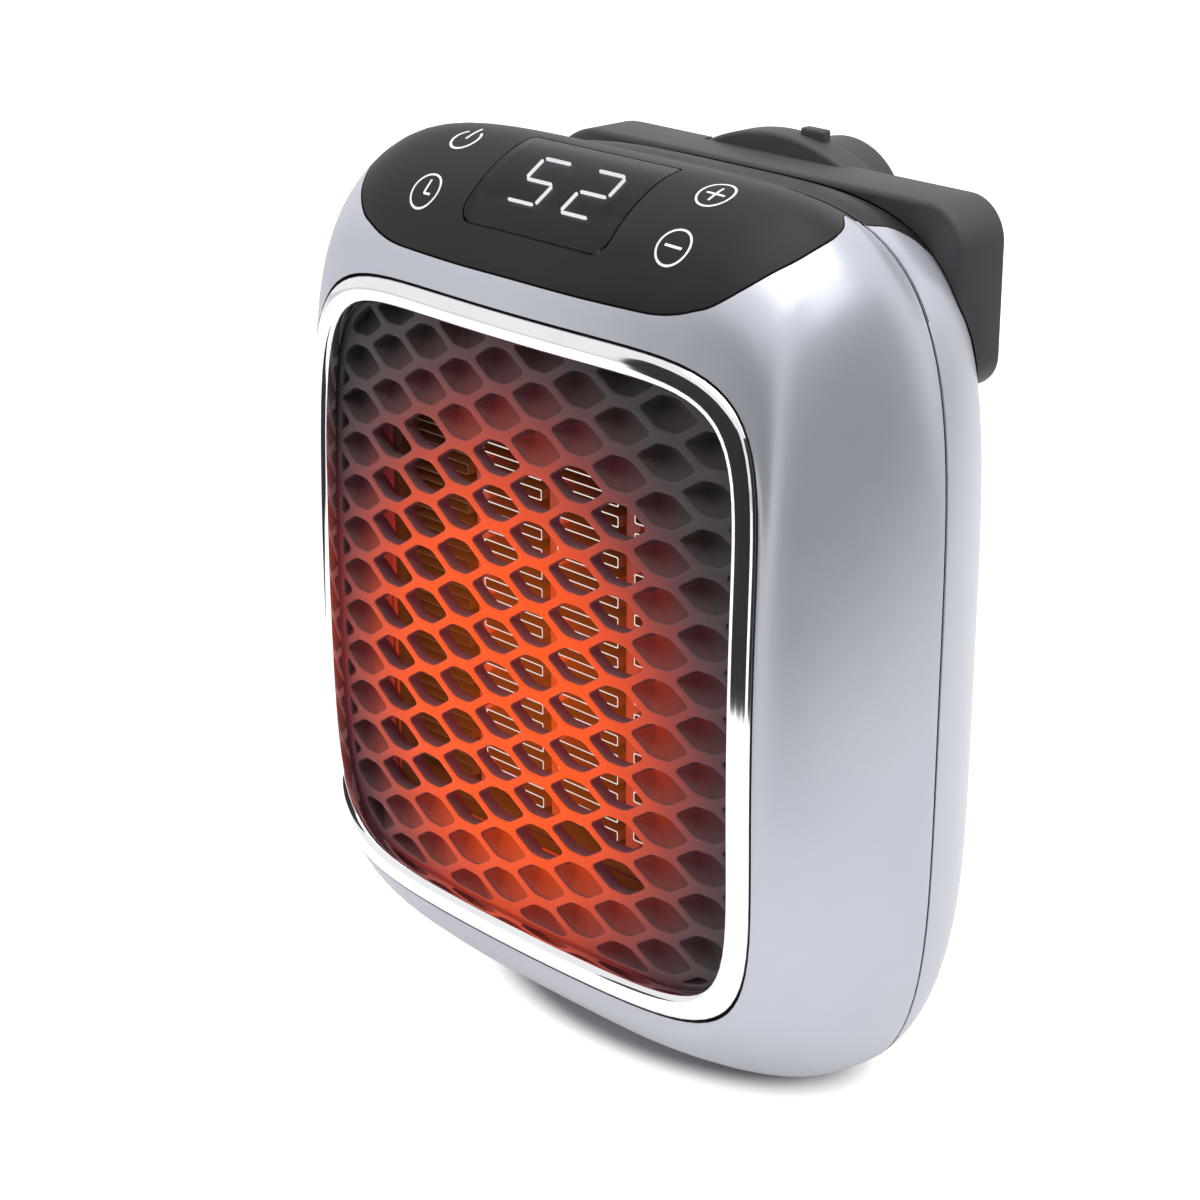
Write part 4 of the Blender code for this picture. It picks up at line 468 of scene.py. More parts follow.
def from_slope(outline, name, lift=0.0272, tall=0.0600):
    """A tall prism over an outline on the slope."""
    return shown(drawn([outline], tall, name, slope_turn, lift))


def oblong(left, right, near, far):
    """The four corners of an upright oblong on a plane."""
    return [(left, near), (right, near), (right, far), (left, far)]


def shell_between(outset, inset, first, last, name):
    """A closed skin between two offsets of the housing's surface."""
    outer = body_skin[first:last] + skin_normal[first:last] * outset
    inner = body_skin[first:last] - skin_normal[first:last] * inset
    return shown(mesh_from_loops(list(outer) + list(inner[::-1]), True, name))


def seam_loop(inset, back=0.0):
    """A loop of the housing's seam, inset and moved back."""
    return waist_loop(*front_rows[-1], inset=inset) + (0, back, 0)


inner_rows = [waist_loop(*row, inset=WALL) for row in front_rows]
for row, share in zip(inner_rows, (1.00, 0.90, 0.60, 0.35, 0.25, 0.10, 0.0, 0.0, 0.0)):
    row[:, 1] += WALL * share
LEDGE = 0.0019
loops = [outlet_loop(seat_outset, WALL, seat_power), outlet_loop(seat_outset, EDGE, seat_power),
         outlet_loop(seat_outset + 0.00002, SOFT, seat_power)]
loops += list(body_skin[:seam_row])
loops += [body_skin[seam_row] - (0, EDGE, 0), seam_loop(SOFT, -SOFT_BACK), seam_loop(EDGE),
          seam_loop(LEDGE), seam_loop(LEDGE, -WALL), seam_loop(WALL, -WALL)]
loops += [inner_rows[k] for k in (7, 6, 4, 2)]
loops += [outlet_loop(0.0022, 0.0046, 7.0), outlet_loop(0.0022, WALL, 7.0)]
shell = shown(mesh_from_loops(loops, True, "shell"))
recess = shell_between(WALL, OVERLAY + FIT, 1, seam_row + 3, "recess")
carve(recess, [(from_slope(panel_outline(FIT), "prism"), "INTERSECT")])
hole = from_slope(oblong(-0.0145, 0.0145, 0.0443, 0.0579), "hole", 0.0457, 0.0400)
carve(shell, [(recess, "DIFFERENCE"), (hole, "DIFFERENCE")])
POST, POST_BORE, POST_END, WEB_END = 0.0036, 0.0017, 0.0397, 0.0348
TOP_POST, LOW_POST = (0.0350, 0.1333), (0.0330, 0.0193)
posts = []
for side in (-1, 1):
    for (x, z), start, web_start, low, high in ((TOP_POST, 0.0280, 0.0280, 0.1366, 0.1473),
                                                (LOW_POST, 0.0200, 0.0220, 0.0083, 0.0160)):
        posts.append(tube(side * x, z, start, POST_END, POST, POST_BORE))
        posts.append(block((side * x - 0.0010, web_start, low), (side * x + 0.0010, WEB_END, high)))
joined(shell, posts)
smooth_as_skin(shell, 0.00012)
finished(shell, "front_housing", "silver_plastic", silver, bare_plastic_and_recess_shade,
         stands_for=["front_shell"])

# Touch panel: a satin black overlay, one millimetre thick, let into the front housing
# flush with the paint. The cut-out takes the display window; a fine gap runs round both.
satin_black = finish_of("satin_black", (0.014, 0.014, 0.015), (0.019, 0.019, 0.020),
                        (0.40, 0.48), grain=4200.0, cloud=55.0, bump=0.14, height=0.000012,
                        Specular_IOR_Level=0.12)


def window_outline(grow):
    """The display window's outline: two round corners in front, two nearly square behind."""
    half, front, back = 0.0164 + grow, 0.0403 - grow, 0.0598 + grow
    wide, tight = 0.0030, 0.0006
    right = arc(half - wide, front + wide, wide, -90, 0, 10)
    right += arc(half - tight, back - tight, tight, 0, 90, 4)
    return right + [(-x, run) for x, run in reversed(right)]


panel = shell_between(0.0, OVERLAY, 1, seam_row + 1, "panel")
carve(panel, [(from_slope(panel_outline(0.0), "edge"), "INTERSECT"),
              (from_slope(window_outline(FIT), "hole"), "DIFFERENCE")])
smooth_as_skin(panel)
finished(panel, "touch_panel", "black_panel", satin_black, stands_for=["top_panel"])

# Display window: a clear smoked plastic pane, polished, that follows the panel's curve
# and drops into its cut-out. The lit digits stand just under it.
smoke = finish_of("smoked_pane", (0.11, 0.11, 0.115), (0.13, 0.13, 0.135), (0.04, 0.07),
                  grain=700.0, cloud=60.0, bump=0.02, height=0.00001,
                  Transmission_Weight=1.0, IOR=1.28, Specular_IOR_Level=0.22)
pane = shell_between(0.0, OVERLAY, 1, seam_row + 1, "pane")
carve(pane, [(from_slope(window_outline(0.0), "edge"), "INTERSECT")])
smooth_as_skin(pane)
finished(pane, "window_pane", "smoked_window", smoke, stands_for=["display_window"])

# Digits: a dark seven-segment plate with the bars of a 5 and a 2 lit white. The plate sits
# on the display block, which keeps its frame shape and is a dull black moulding.
dull_black = finish_of("dull_black_moulding", (0.020, 0.020, 0.022), (0.030, 0.030, 0.033),
                       (0.50, 0.62), grain=2600.0, cloud=90.0, bump=0.22, height=0.00003)
lit_white = finish_of("lit_white_bars", (0.80, 0.80, 0.82), (0.86, 0.86, 0.88), (0.35, 0.45),
                      Emission_Color=(1.0, 1.0, 1.0, 1.0), Emission_Strength=7.0)


def digit_bar(centre, which):
    """One tapered bar of a digit, named a to g, as an outline on the slope."""
    middle, tall, wide, half, end = 0.0511, 0.0047, 0.0032, 0.00023, 0.00034
    if which in "agd":
        run = middle + {"a": tall, "g": 0.0, "d": -tall}[which]
        low, high = centre - wide + end, centre + wide - end
        return [(low, run), (low + half, run - half), (high - half, run - half), (high, run),
                (high - half, run + half), (low + half, run + half)]
    x = centre + (wide if which in "bc" else -wide)
    low = middle + (end if which in "bf" else end - tall)
    high = middle + (tall - end if which in "bf" else -end)
    return [(x, low), (x + half, low + half), (x + half, high - half), (x, high),
            (x - half, high - half), (x - half, low + half)]


plate_lift, plate_thick, bars_lift, bars_thick = 0.0515, 0.0004, 0.05191, 0.00036
plate = shown(drawn([oblong(-0.0114, 0.0090, 0.0456, 0.0566)], plate_thick, "plate",
                    slope_turn, plate_lift, 0.0001))
finished(plate, "digit_plate", "black_moulding", dull_black)
bars = [digit_bar(-0.0073, k) for k in "afgcd"] + [digit_bar(0.0049, k) for k in "abged"]
digits = shown(drawn(bars, bars_thick, "bars", slope_turn, bars_lift, 0.00004))
finished(digits, "lit_digits", "white_film", lit_white, stands_for=["display_digits"])

# Key symbols: thin white print on the overlay, a power mark, a clock, a plus and a minus.
# Each stroke is a fine strip of paint that lies on the curved surface of the panel.
white_print = finish_of("white_print", (0.66, 0.66, 0.68), (0.74, 0.74, 0.76), (0.40, 0.50),
                        grain=3000.0, cloud=300.0, bump=0.05, height=0.00001)


def on_panel(x, run, lift):
    """A place on the slope, dropped on to the housing's skin and raised by the lift."""
    high = slope_turn @ Vector((x, run, 0.0900))
    way = -(slope_turn.to_3x3() @ Vector((0, 0, 1)))
    spot, normal, index, far = skin_tree.ray_cast(high, way)
    return spot - way * lift


def painted_stroke(work, points, width, loop=False):
    """A strip of paint along a line of places on the slope."""
    sunk, proud = -0.00005, 0.00003
    rings = []
    total = len(points)
    for k, (x, run) in enumerate(points):
        before = points[(k - 1) % total] if loop or k else points[0]
        after = points[(k + 1) % total] if loop or k < total - 1 else points[-1]
        dx, dy = after[0] - before[0], after[1] - before[1]
        size = math.hypot(dx, dy)
        ax, ay = -dy / size * width / 2, dx / size * width / 2
        rings.append([work.verts.new(on_panel(x + ax * s, run + ay * s, lift))
                      for s, lift in ((-1, sunk), (-0.85, proud), (0.85, proud), (1, sunk))])
    skinned(work, rings, loop)


work = bmesh.new()
power, clock, plus, minus = np.array([(-0.0278, 0.0550), (-0.0268, 0.0434),
                                      (0.0280, 0.0556), (0.0286, 0.0444)])
painted_stroke(work, arc(*power, 0.0026, 125, 415), 0.00050)
for key in (clock, plus, minus):
    painted_stroke(work, arc(*key, 0.0030, 0, 360, 60)[:-1], 0.00042, loop=True)
for key, start, end, width in (
        (power, (0, 0), (0, 0.0036), 0.00050), (clock, (0, 0.0020), (0, -0.0005), 0.00045),
        (clock, (0, -0.0005), (0.0015, -0.0005), 0.00045),
        (plus, (-0.0018, 0), (0.0018, 0), 0.00048), (plus, (0, -0.0017), (0, 0.0017), 0.00048),
        (minus, (-0.0017, 0), (0.0017, 0), 0.00048)):
    painted_stroke(work, np.linspace(key + start, key + end, 9), width)
finished(shown(mesh_of(work, "print")), "key_print", "white_film", white_print)

# Outlet ring: a plastic ring with bright plating, pressed into the seat of the housing.
# Its rounded face stands proud of the front and its leg goes down into the seat.
plating = finish_of("bright_plating", (0.80, 0.80, 0.82), (0.86, 0.86, 0.88), (0.05, 0.09),
                    grain=500.0, cloud=70.0, bump=0.02, height=0.00001, Metallic=1.0)
RING, RING_PROUD, RING_FLANGE = 0.0043, 0.0011, 0.0018
ring_face = np.array([(0.0, 0.0), (0.00043, -0.00066), (0.00146, -RING_PROUD),
                      (0.00284, -0.00101), (0.00387, -0.00055), (RING, 0.00022)])
ring_knots = np.concatenate([[0.0], np.cumsum(np.linalg.norm(np.diff(ring_face, axis=0), axis=1))])
face = natural_curve(ring_knots, ring_face, np.linspace(0, ring_knots[-1], 20))
section = [(0.0, RING_FLANGE)] + [(a, max(b, -RING_PROUD)) for a, b in face]
section += [(RING, 0.0022), (0.0042, 0.0023), (0.0024, 0.0023), (0.0023, 0.0022),
            (0.0023, RING_FLANGE)]
loops = [outlet_loop(a, b, 7.1 - 0.8 * max(a, 0.0) / RING) for a, b in section]
ring = rounded(shown(mesh_from_loops(loops, True, "ring")), 40.0)
finished(ring, "outlet_ring", "bright_plating", plating, stands_for=["bezel_ring"])

# Outlet grille: a dark heat-proof moulding with staggered six-sided cells, open over the
# element and closed by a floor round it. The plate bows with the front and carries a painted
# orange glow that stands in for the element's light; its pocket floors are painted shade.
# Painted glow mask: highest a little left of and below the outlet's middle, fading outwards and
# further back, and lowered to the Side share on faces not turned to the front.
painted_glow, given, out = value_group("painted_glow", [("Side", 1.0)], ["Glow"])
where = added(painted_glow, "TexCoord")
shift = added(painted_glow, "Mapping", ("vector_type", "TEXTURE"),
              Location=(-0.0045, FACE_DEPTH, OUTLET - 0.0110), Scale=(0.0590, 0.0300, 0.0680))
size = added(painted_glow, "VectorMath", ("operation", "LENGTH"))
fade = added(painted_glow, "MapRange", ("interpolation_type", "SMOOTHSTEP"),
             From_Min=1.0, From_Max=0.30)
facing = added(painted_glow, "SeparateXYZ")
front_share = added(painted_glow, "MapRange", From_Min=-0.30, From_Max=-0.95)
weaker = added(painted_glow, "Math", ("operation", "MULTIPLY"))
linked(painted_glow, (where, "Normal", facing, "Vector"), (facing, "Y", front_share, "Value"),
       (given, "Side", front_share, "To Min"), (where, "Object", shift, "Vector"),
       (shift, "Vector", size, 0), (size, "Value", fade, "Value"), (fade, "Result", weaker, 0),
       (front_share, "Result", weaker, 1), (weaker, "Value", out, "Glow"))


def glow_painted_finish(name, dark, pale, gloss, side, strength, stops, **more):
    """A finish with a painted glow: where the glow mask is high it emits through the given stops of
    colour and its base colour turns orange, as light from the element.
    """
    made = finish_of(name, dark, pale, gloss, **more)
    tree = made.node_tree
    shader = tree.nodes["Principled BSDF"]
    heat = added(tree, "Group", ("node_tree", painted_glow), Side=side)
    colours = ramp_of(tree, stops)
    # Painted light: the base colour is tinted dark orange where the glow mask is high.
    glow_tinted_base = added(tree, "Mix", ("data_type", "RGBA"), B=(0.100, 0.014, 0.002, 1.0))
    tree.links.new(shader.inputs["Base Color"].links[0].from_socket, glow_tinted_base.inputs["A"])
    linked(tree, (heat, "Glow", colours, "Fac"), (colours, "Color", shader, "Emission Color"),
           (heat, "Glow", glow_tinted_base, "Factor"), (glow_tinted_base, "Result", shader, "Base Color"))
    preset(shader, Emission_Strength=strength)
    return made


# Painted glow colours for emission, from none through dark red to orange.
warm_stops = ((0.0, (0, 0, 0)), (0.16, (0.055, 0.006, 0.012)), (0.42, (0.26, 0.022, 0.014)),
              (0.70, (0.62, 0.050, 0.006)), (1.0, (0.95, 0.082, 0.003)))
grille_black = glow_painted_finish("grille_painted_glow", (0.058, 0.050, 0.050), (0.070, 0.060, 0.060),
                      (0.46, 0.58), 0.22, 1.0, warm_stops, grain=2400.0, cloud=80.0, bump=0.2,
                      height=0.00003, Specular_IOR_Level=0.15)
# Painted shade: the pocket floors take a darker copy of the grille's finish, with a weaker painted
# glow.
shaded_pocket_black = glow_painted_finish("pockets_painted_shade_and_glow", (0.034, 0.029, 0.028), (0.044, 0.037, 0.036),
                      (0.50, 0.62), 0.45, 0.60, warm_stops, grain=2400.0, cloud=80.0, bump=0.2,
                      height=0.00003, Specular_IOR_Level=0.12)
upright = Matrix.Translation((0, FACE_DEPTH, OUTLET)) @ Matrix.Rotation(math.radians(90), 4, "X")
PITCH, ROW_PITCH, CORNER = 0.0091, 0.00747, 0.0010
GRILLE_FRONT, GRILLE_BACK = 0.0026, 0.0050
POCKET_LIP, POCKET_DEPTH = 0.0030, 0.0029


def rounded_corners(points, radius, steps=3):
    """A polygon with each corner turned on a small radius."""
    made = []
    for k, point in enumerate(points):
        here = Vector(point)
        before, after = Vector(points[k - 1]), Vector(points[(k + 1) % len(points)])
        near = min(radius, (before - here).length / 2.05, (after - here).length / 2.05)
        a, b = here + (before - here).normalized() * near, here + (after - here).normalized() * near
        for step in range(steps + 1):
            t = step / steps
            made.append(tuple(a * (1 - t) ** 2 + here * 2 * t * (1 - t) + b * t ** 2))
    return made


def grille_cell(x, z):
    """One blunt six-sided cell, wider than high."""
    half, flat, rise = 0.0060, 0.0019, 0.0027
    points = [(half, 0.0), (flat, rise), (-flat, rise), (-half, 0.0), (-flat, -rise), (flat, -rise)]
    return [(x + a, z + b) for a, b in points]


def clipped(polygon, keep):
    """The part of a polygon inside a round outline."""
    made = polygon
    for (ax, ay), (bx, by) in zip(keep, keep[1:] + keep[:1]):
        depth = [(bx - ax) * (y - ay) - (by - ay) * (x - ax) for x, y in made]
        fresh = []
        for j in range(len(made)):
            (px, py), (qx, qy) = made[j - 1], made[j]
            if (depth[j] >= 0) != (depth[j - 1] >= 0):
                t = depth[j - 1] / (depth[j - 1] - depth[j])
                fresh.append((px + (qx - px) * t, py + (qy - py) * t))
            if depth[j] >= 0:
                fresh.append((qx, qy))
        made = fresh
    return made


def dish(outline, x, z):
    """The scooped floor of a closed cell, deepest towards its upper left."""
    left, up, overlap, thick = 0.0036, 0.0009, 1.01, 0.0035
    work = bmesh.new()
    rings = []
    for share in (1.0, 0.94, 0.86, 0.76, 0.64, 0.50, 0.34, 0.18, 0.07):
        depth = POCKET_LIP + POCKET_DEPTH * (1 - share ** 1.3)
        mx, mz = x - left * (1 - share), z + up * (1 - share)
        ring = []
        for px, pz in outline:
            a, b = mx + (px - x) * share * overlap, mz + (pz - z) * share * overlap
            ring.append(work.verts.new((a, FACE_DEPTH + depth + bow(a, b + OUTLET), b + OUTLET)))
        rings.append(ring)
    base = [work.verts.new((v.co.x, v.co.y + thick, v.co.z)) for v in rings[0]]
    skinned(work, [base] + rings, False)
    mesh = mesh_of(work, "dish")
    # The scooped floors take the second slot, the darker painted-shade copy of the grille finish.
    for face in mesh.polygons:
        face.material_index = 1
    return mesh


keep = outlet_flat(-0.0005, 7.1)[::3]
smallest_cell = 0.0000035
cells, dishes = [], []
for column in range(-7, 7):
    for row in range(-9, 10):
        x, z = (column + 0.5) * PITCH, (row + (0.0 if column % 2 else 0.5)) * ROW_PITCH
        shape = clipped(grille_cell(x, z), keep)
        if len(shape) < 3:
            continue
        area = 0.5 * sum(a[0] * b[1] - b[0] * a[1] for a, b in zip(shape, shape[1:] + shape[:1]))
        if abs(area) > smallest_cell:
            clean = [p for k, p in enumerate(shape) if math.dist(p, shape[k - 1]) > 0.00015]
            cells.append(rounded_corners(clean, CORNER))
            if not (-0.0340 < x < 0.0275 and -0.0345 < z < 0.0320):
                dishes.append(dish(cells[-1], *np.mean(clean, axis=0)))


def front_plate(outlines, front, back, name, edge=0.0):
    """Outlines in the grille's plane, thickened between two depths and bowed."""
    mesh = drawn(outlines, back - front, name, upright, -back, edge)
    for corner in mesh.vertices:
        corner.co.y += bow(corner.co.x, corner.co.z)
    return mesh


plate = front_plate([outlet_flat(0.0019, 7.0)] + cells, GRILLE_FRONT, GRILLE_BACK, "plate", 0.0003)
floor = front_plate([outlet_flat(0.0016, 7.0), oblong(-0.0365, 0.0274, -0.0356, 0.0320)],
                    0.0061, 0.0066, "floor")
flange = front_plate([outlet_flat(0.0030, 7.0), outlet_flat(0.0012, 7.0)], 0.0052, 0.0067, "flange")
grille = shown(plate)
post_out = 0.0415
posts = [tube(a * post_out, OUTLET + b * post_out, 0.0094, 0.0252, 0.0028, 0.0017)
         for a in (-1, 1) for b in (-1, 1)]
joined(grille, [floor, flange] + dishes + posts)
rounded(grille, 40.0)
finished(grille, "grille_plate", "grille_plastic", grille_black, shaded_pocket_black,
         stands_for=["outlet_grille"])

# Heating element: folded aluminium fins between white ceramic bars, in a dull heat-proof
# frame, with a thermal cut-out and a fuse on top. The fins are one sheet folded to and fro;
# the other pieces keep their frame shapes.


def dressed(names, material):
    """Give frame nodes that keep their shape a better finish."""
    for name in names:
        body = node[name]
        body.data.materials.clear()
        body.data.materials.append(material)
        rounded(body, 30.0)


# Painted glow colours: faint dark red to orange for the fins, weaker brown ones for the first fin pack
# and the frame.
faint_glow_stops = ((0.0, (0, 0, 0)), (0.25, (0.010, 0.002, 0.001)), (0.60, (0.085, 0.016, 0.003)),
               (1.0, (0.240, 0.045, 0.006)))
brown_stops = ((0.0, (0, 0, 0)), (0.25, (0.016, 0.004, 0.001)), (0.60, (0.090, 0.020, 0.003)),
               (1.0, (0.170, 0.036, 0.004)))
# Painted glow on the fin sheet, as light from the element.
fin_metal = glow_painted_finish("rolled_fin_sheet", (0.30, 0.28, 0.27), (0.42, 0.40, 0.38), (0.30, 0.42),
                   1.0, 1.0, faint_glow_stops, grain=1500.0, cloud=260.0, bump=0.12,
                   height=0.00003, Metallic=0.85)
tree = fin_metal.node_tree
# Painted highlight: faces turned straight to the front, the folded sheet's front edges, emit a pale
# light.
where = added(tree, "TexCoord")
facing = added(tree, "SeparateXYZ")
edge = added(tree, "MapRange", From_Min=-0.90, From_Max=-0.98)
painted_edge_highlight = added(tree, "Mix", ("data_type", "RGBA"), B=(0.80, 0.74, 0.70, 1.0))
shader = tree.nodes["Principled BSDF"]
tree.links.new(shader.inputs["Emission Color"].links[0].from_socket, painted_edge_highlight.inputs["A"])
linked(tree, (where, "Normal", facing, "Vector"), (facing, "Y", edge, "Value"),
       (edge, "Result", painted_edge_highlight, "Factor"), (painted_edge_highlight, "Result", shader, "Emission Color"))
# The first pack takes a darker, browner copy of the fin finish, with a weaker painted glow and no
# painted edge highlight.
browner_fin_metal = glow_painted_finish("browner_fin_sheet", (0.20, 0.16, 0.12), (0.28, 0.22, 0.17), (0.40, 0.55),
                       1.0, 1.0, brown_stops, grain=1500.0, cloud=260.0, bump=0.12,
                       height=0.00003, Metallic=0.6)
FOLDS, HALF_SHEET, FOLD_ROUND = 38, 0.00010, 0.00028
for index in range(1, 5):
    low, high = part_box(f"fin_pack_{index}")
    rise = (high.z - low.z - 2 * HALF_SHEET) / FOLDS
    over, under = [], []
    for step in range(FOLDS + 1):
        z = low.z - OUTLET + HALF_SHEET + step * rise
        way = -1 if step % 2 else 1
        ends = (low.x + HALF_SHEET, high.x - HALF_SHEET)[::way]
        for place, x in enumerate(ends):
            turn = HALF_SHEET if 0 < 2 * step + place < 2 * FOLDS + 1 else 0.0
            over.append((x - turn, z + way * HALF_SHEET))
            under.append((x + turn, z - way * HALF_SHEET))
    folds = shown(drawn([rounded_corners(over + under[::-1], FOLD_ROUND, 2)], high.y - low.y,
                        "folds", upright, FACE_DEPTH - high.y))
    rounded(folds, 30.0)
    finished(folds, f"folded_fins_{index}", "bare_aluminium",
             fin_metal if index > 1 else browner_fin_metal, stands_for=[f"fin_pack_{index}"])
# Painted glow on the ceramic bars and the fuse, in the grille's orange stops.
ceramic = glow_painted_finish("fired_ceramic", (0.24, 0.19, 0.15), (0.32, 0.26, 0.20), (0.50, 0.65),
                 1.0, 0.8, warm_stops, grain=1900.0, cloud=180.0, bump=0.25, height=0.00004)
dressed([f"ceramic_bar_{k}" for k in range(1, 4)] + ["thermal_fuse"], ceramic)
# Painted glow on the element frame, in weak brown stops.
heat_proof = glow_painted_finish("heat_proof_frame", (0.030, 0.028, 0.027), (0.045, 0.042, 0.040),
                    (0.55, 0.70), 1.0, 1.0, brown_stops, grain=1700.0, cloud=120.0, bump=0.25,
                    height=0.00004)
dressed(["element_frame"], heat_proof)
steel = finish_of("plated_steel", (0.52, 0.52, 0.53), (0.62, 0.62, 0.63), (0.24, 0.36),
                  grain=2600.0, cloud=320.0, Metallic=1.0)
dressed(["thermal_cutout", "fan_shaft", "fan_motor", "swivel_retainer"]
        + [f"touch_spring_{k}" for k in range(1, 5)] + [f"duct_screw_{k}" for k in range(1, 5)],
        steel)

# Air duct, fan and bracket: plain dark mouldings behind the element, seen only through
# the grille and the intake. They keep their frame shapes.
dressed(["air_duct", "fan_impeller", "motor_bracket", "display_block"], dull_black)

# Boards and their parts: green laminate with a relay, a film capacitor, a coil and a
# smoothing can, each in its usual case colour. The leads have soft coloured sleeves.
laminate = finish_of("green_laminate", (0.015, 0.110, 0.045), (0.022, 0.145, 0.060),
                     (0.28, 0.42), grain=1200.0, cloud=150.0, bump=0.15, height=0.00003,
                     Coat_Weight=0.3)
dressed(["control_board", "touch_board"], laminate)
blue_case = finish_of("blue_case", (0.020, 0.060, 0.230), (0.030, 0.085, 0.290), (0.30, 0.42),
                      grain=1500.0, cloud=160.0)
dressed(["relay", "smoothing_capacitor"], blue_case)
yellow_case = finish_of("yellow_case", (0.560, 0.360, 0.030), (0.660, 0.440, 0.050),
                        (0.28, 0.40), grain=1300.0, cloud=170.0)
dressed(["film_capacitor"], yellow_case)
copper = finish_of("enamelled_copper", (0.400, 0.130, 0.045), (0.520, 0.190, 0.070),
                   (0.25, 0.38), grain=2600.0, cloud=900.0, bump=0.3, height=0.00006,
                   Metallic=0.8)
dressed(["filter_coil"], copper)
for name, tones, leads in (
        ("red_sleeve", ((0.32, 0.020, 0.014), (0.42, 0.032, 0.022)),
         ("element_lead_left", "element_lead_right", "motor_lead_left")),
        ("black_sleeve", ((0.018, 0.018, 0.020), (0.030, 0.030, 0.032)),
         ("supply_lead_left", "motor_lead_right")),
        ("grey_sleeve", ((0.42, 0.42, 0.43), (0.52, 0.52, 0.53)), ("supply_lead_right",))):
    dressed(leads, finish_of(name, *tones, (0.42, 0.58), grain=1600.0, cloud=220.0, bump=0.15))

# Rear housing: a deep cup in the same silver paint, screwed to the front one from behind.
# Slots in its back take air in; the top has a recess for the black strip.
SWIVEL = 0.1148
SLEEVE_HOLE, WELL_END, FLOOR_FRONT = 0.0143, 0.0640, 0.0579
seam_gap, tongue, tongue_front, rear_wall = 0.00035, 0.0022, -0.0020, 0.0024
loops = [seam_loop(0.0034, tongue_front), seam_loop(tongue, tongue_front),
         seam_loop(tongue, seam_gap), seam_loop(EDGE, seam_gap),
         seam_loop(SOFT, seam_gap + SOFT_BACK), body_skin[seam_row] + (0, seam_gap + EDGE, 0)]
loops += list(body_skin[seam_row + 1:])
inside = []
for k, side_share, back_share in ((6, 0.40, 1.00), (5, 0.60, 1.00), (4, 0.80, 0.70),
                                  (2, 1.0, 0.20), (0, 1.0, 0.0)):
    loop = waist_loop(*rear_rows[k], inset=rear_wall * side_share)
    inside.append(loop - (0, rear_wall * back_share, 0))
cup = shown(mesh_from_loops(inside + loops, False, "cup"))
post_spots = [(side * x, z) for x, z in (TOP_POST, LOW_POST) for side in (-1, 1)]


def rod(x, z, start, end, radius, steps=36):
    """A round rod along the depth."""
    return shown(turned([(start, radius), (end, radius)], x, z, steps, "rod", closed=False))


tools = [(rod(x, z, 0.0403, FLOOR_FRONT, POST), "UNION") for x, z in post_spots]
for x, z in post_spots:
    tools.append((rod(x, z, 0.0380, 0.0566, POST_BORE), "DIFFERENCE"))
    tools.append((rod(x, z, 0.0559, WELL_END, 0.0029), "DIFFERENCE"))
for side in (-1, 1):
    for z in (0.1156, 0.1378):
        tools.append((rod(side * 0.0262, z, 0.04775, FLOOR_FRONT, 0.0024), "UNION"))
tools.append((rod(0.0, SWIVEL, 0.0540, WELL_END, SLEEVE_HOLE, 72), "DIFFERENCE"))
SLOT_ROWS, SLOT_PITCH, FIRST_SLOT, SLOT_HALF, RIB = 9, 0.0056, -0.0065, 0.0014, 0.0016
LONG_SLOT, SHORT_SLOT, SHORT_BELOW = 0.0350, 0.0250, 0.0265
slots = []
for row in range(SLOT_ROWS):
    z = FIRST_SLOT - row * SLOT_PITCH
    half = ((LONG_SLOT if z + OUTLET > SHORT_BELOW else SHORT_SLOT) - RIB) / 2
    for side in (-1, 1):
        outline = []
        for end, first in ((1, -90), (-1, 90)):
            middle = side * (half + RIB / 2) + end * (half - SLOT_HALF)
            outline += arc(middle, z, SLOT_HALF, first, first + 180, 10)
        slots.append(outline)
tools.append((shown(drawn(slots, 0.0120, "slots", upright, -WELL_END)), "DIFFERENCE"))


def strip_prism(grow, front, name):
    """The black strip's outline from above, as a tall prism."""
    half = [(0.0378, front), (0.0378, 0.0412), (0.0385, 0.0450), (0.0396, 0.0485),
            (0.0415, 0.0518 + grow)]
    outline = [(x + grow, y) for x, y in half] + [(-x - grow, y) for x, y in reversed(half)]
    return shown(drawn([outline], 0.1000, name, Matrix.Translation((0, FACE_DEPTH, OUTLET))))


strip_recess = shell_between(WALL, OVERLAY + FIT, seam_row - 3, body_skin.shape[0], "strip_recess")
carve(strip_recess, [(strip_prism(FIT, 0.0380, "edge"), "INTERSECT")])
carve(cup, tools + [(strip_recess, "DIFFERENCE")])
smooth_as_skin(cup, 0.00012)
finished(cup, "rear_housing", "silver_plastic", silver, bare_plastic_and_recess_shade, stands_for=["rear_shell"])

# Top strip: the touch panel's black overlay carried on over the rear housing, in the same
# satin finish, up to the saddle.
strip = shell_between(0.0, OVERLAY, seam_row, body_skin.shape[0], "strip")
carve(strip, [(strip_prism(0.0, 0.04057, "edge"), "INTERSECT")])
smooth_as_skin(strip)
finished(strip, "top_strip", "black_panel", satin_black, stands_for=["rear_top_strip"])

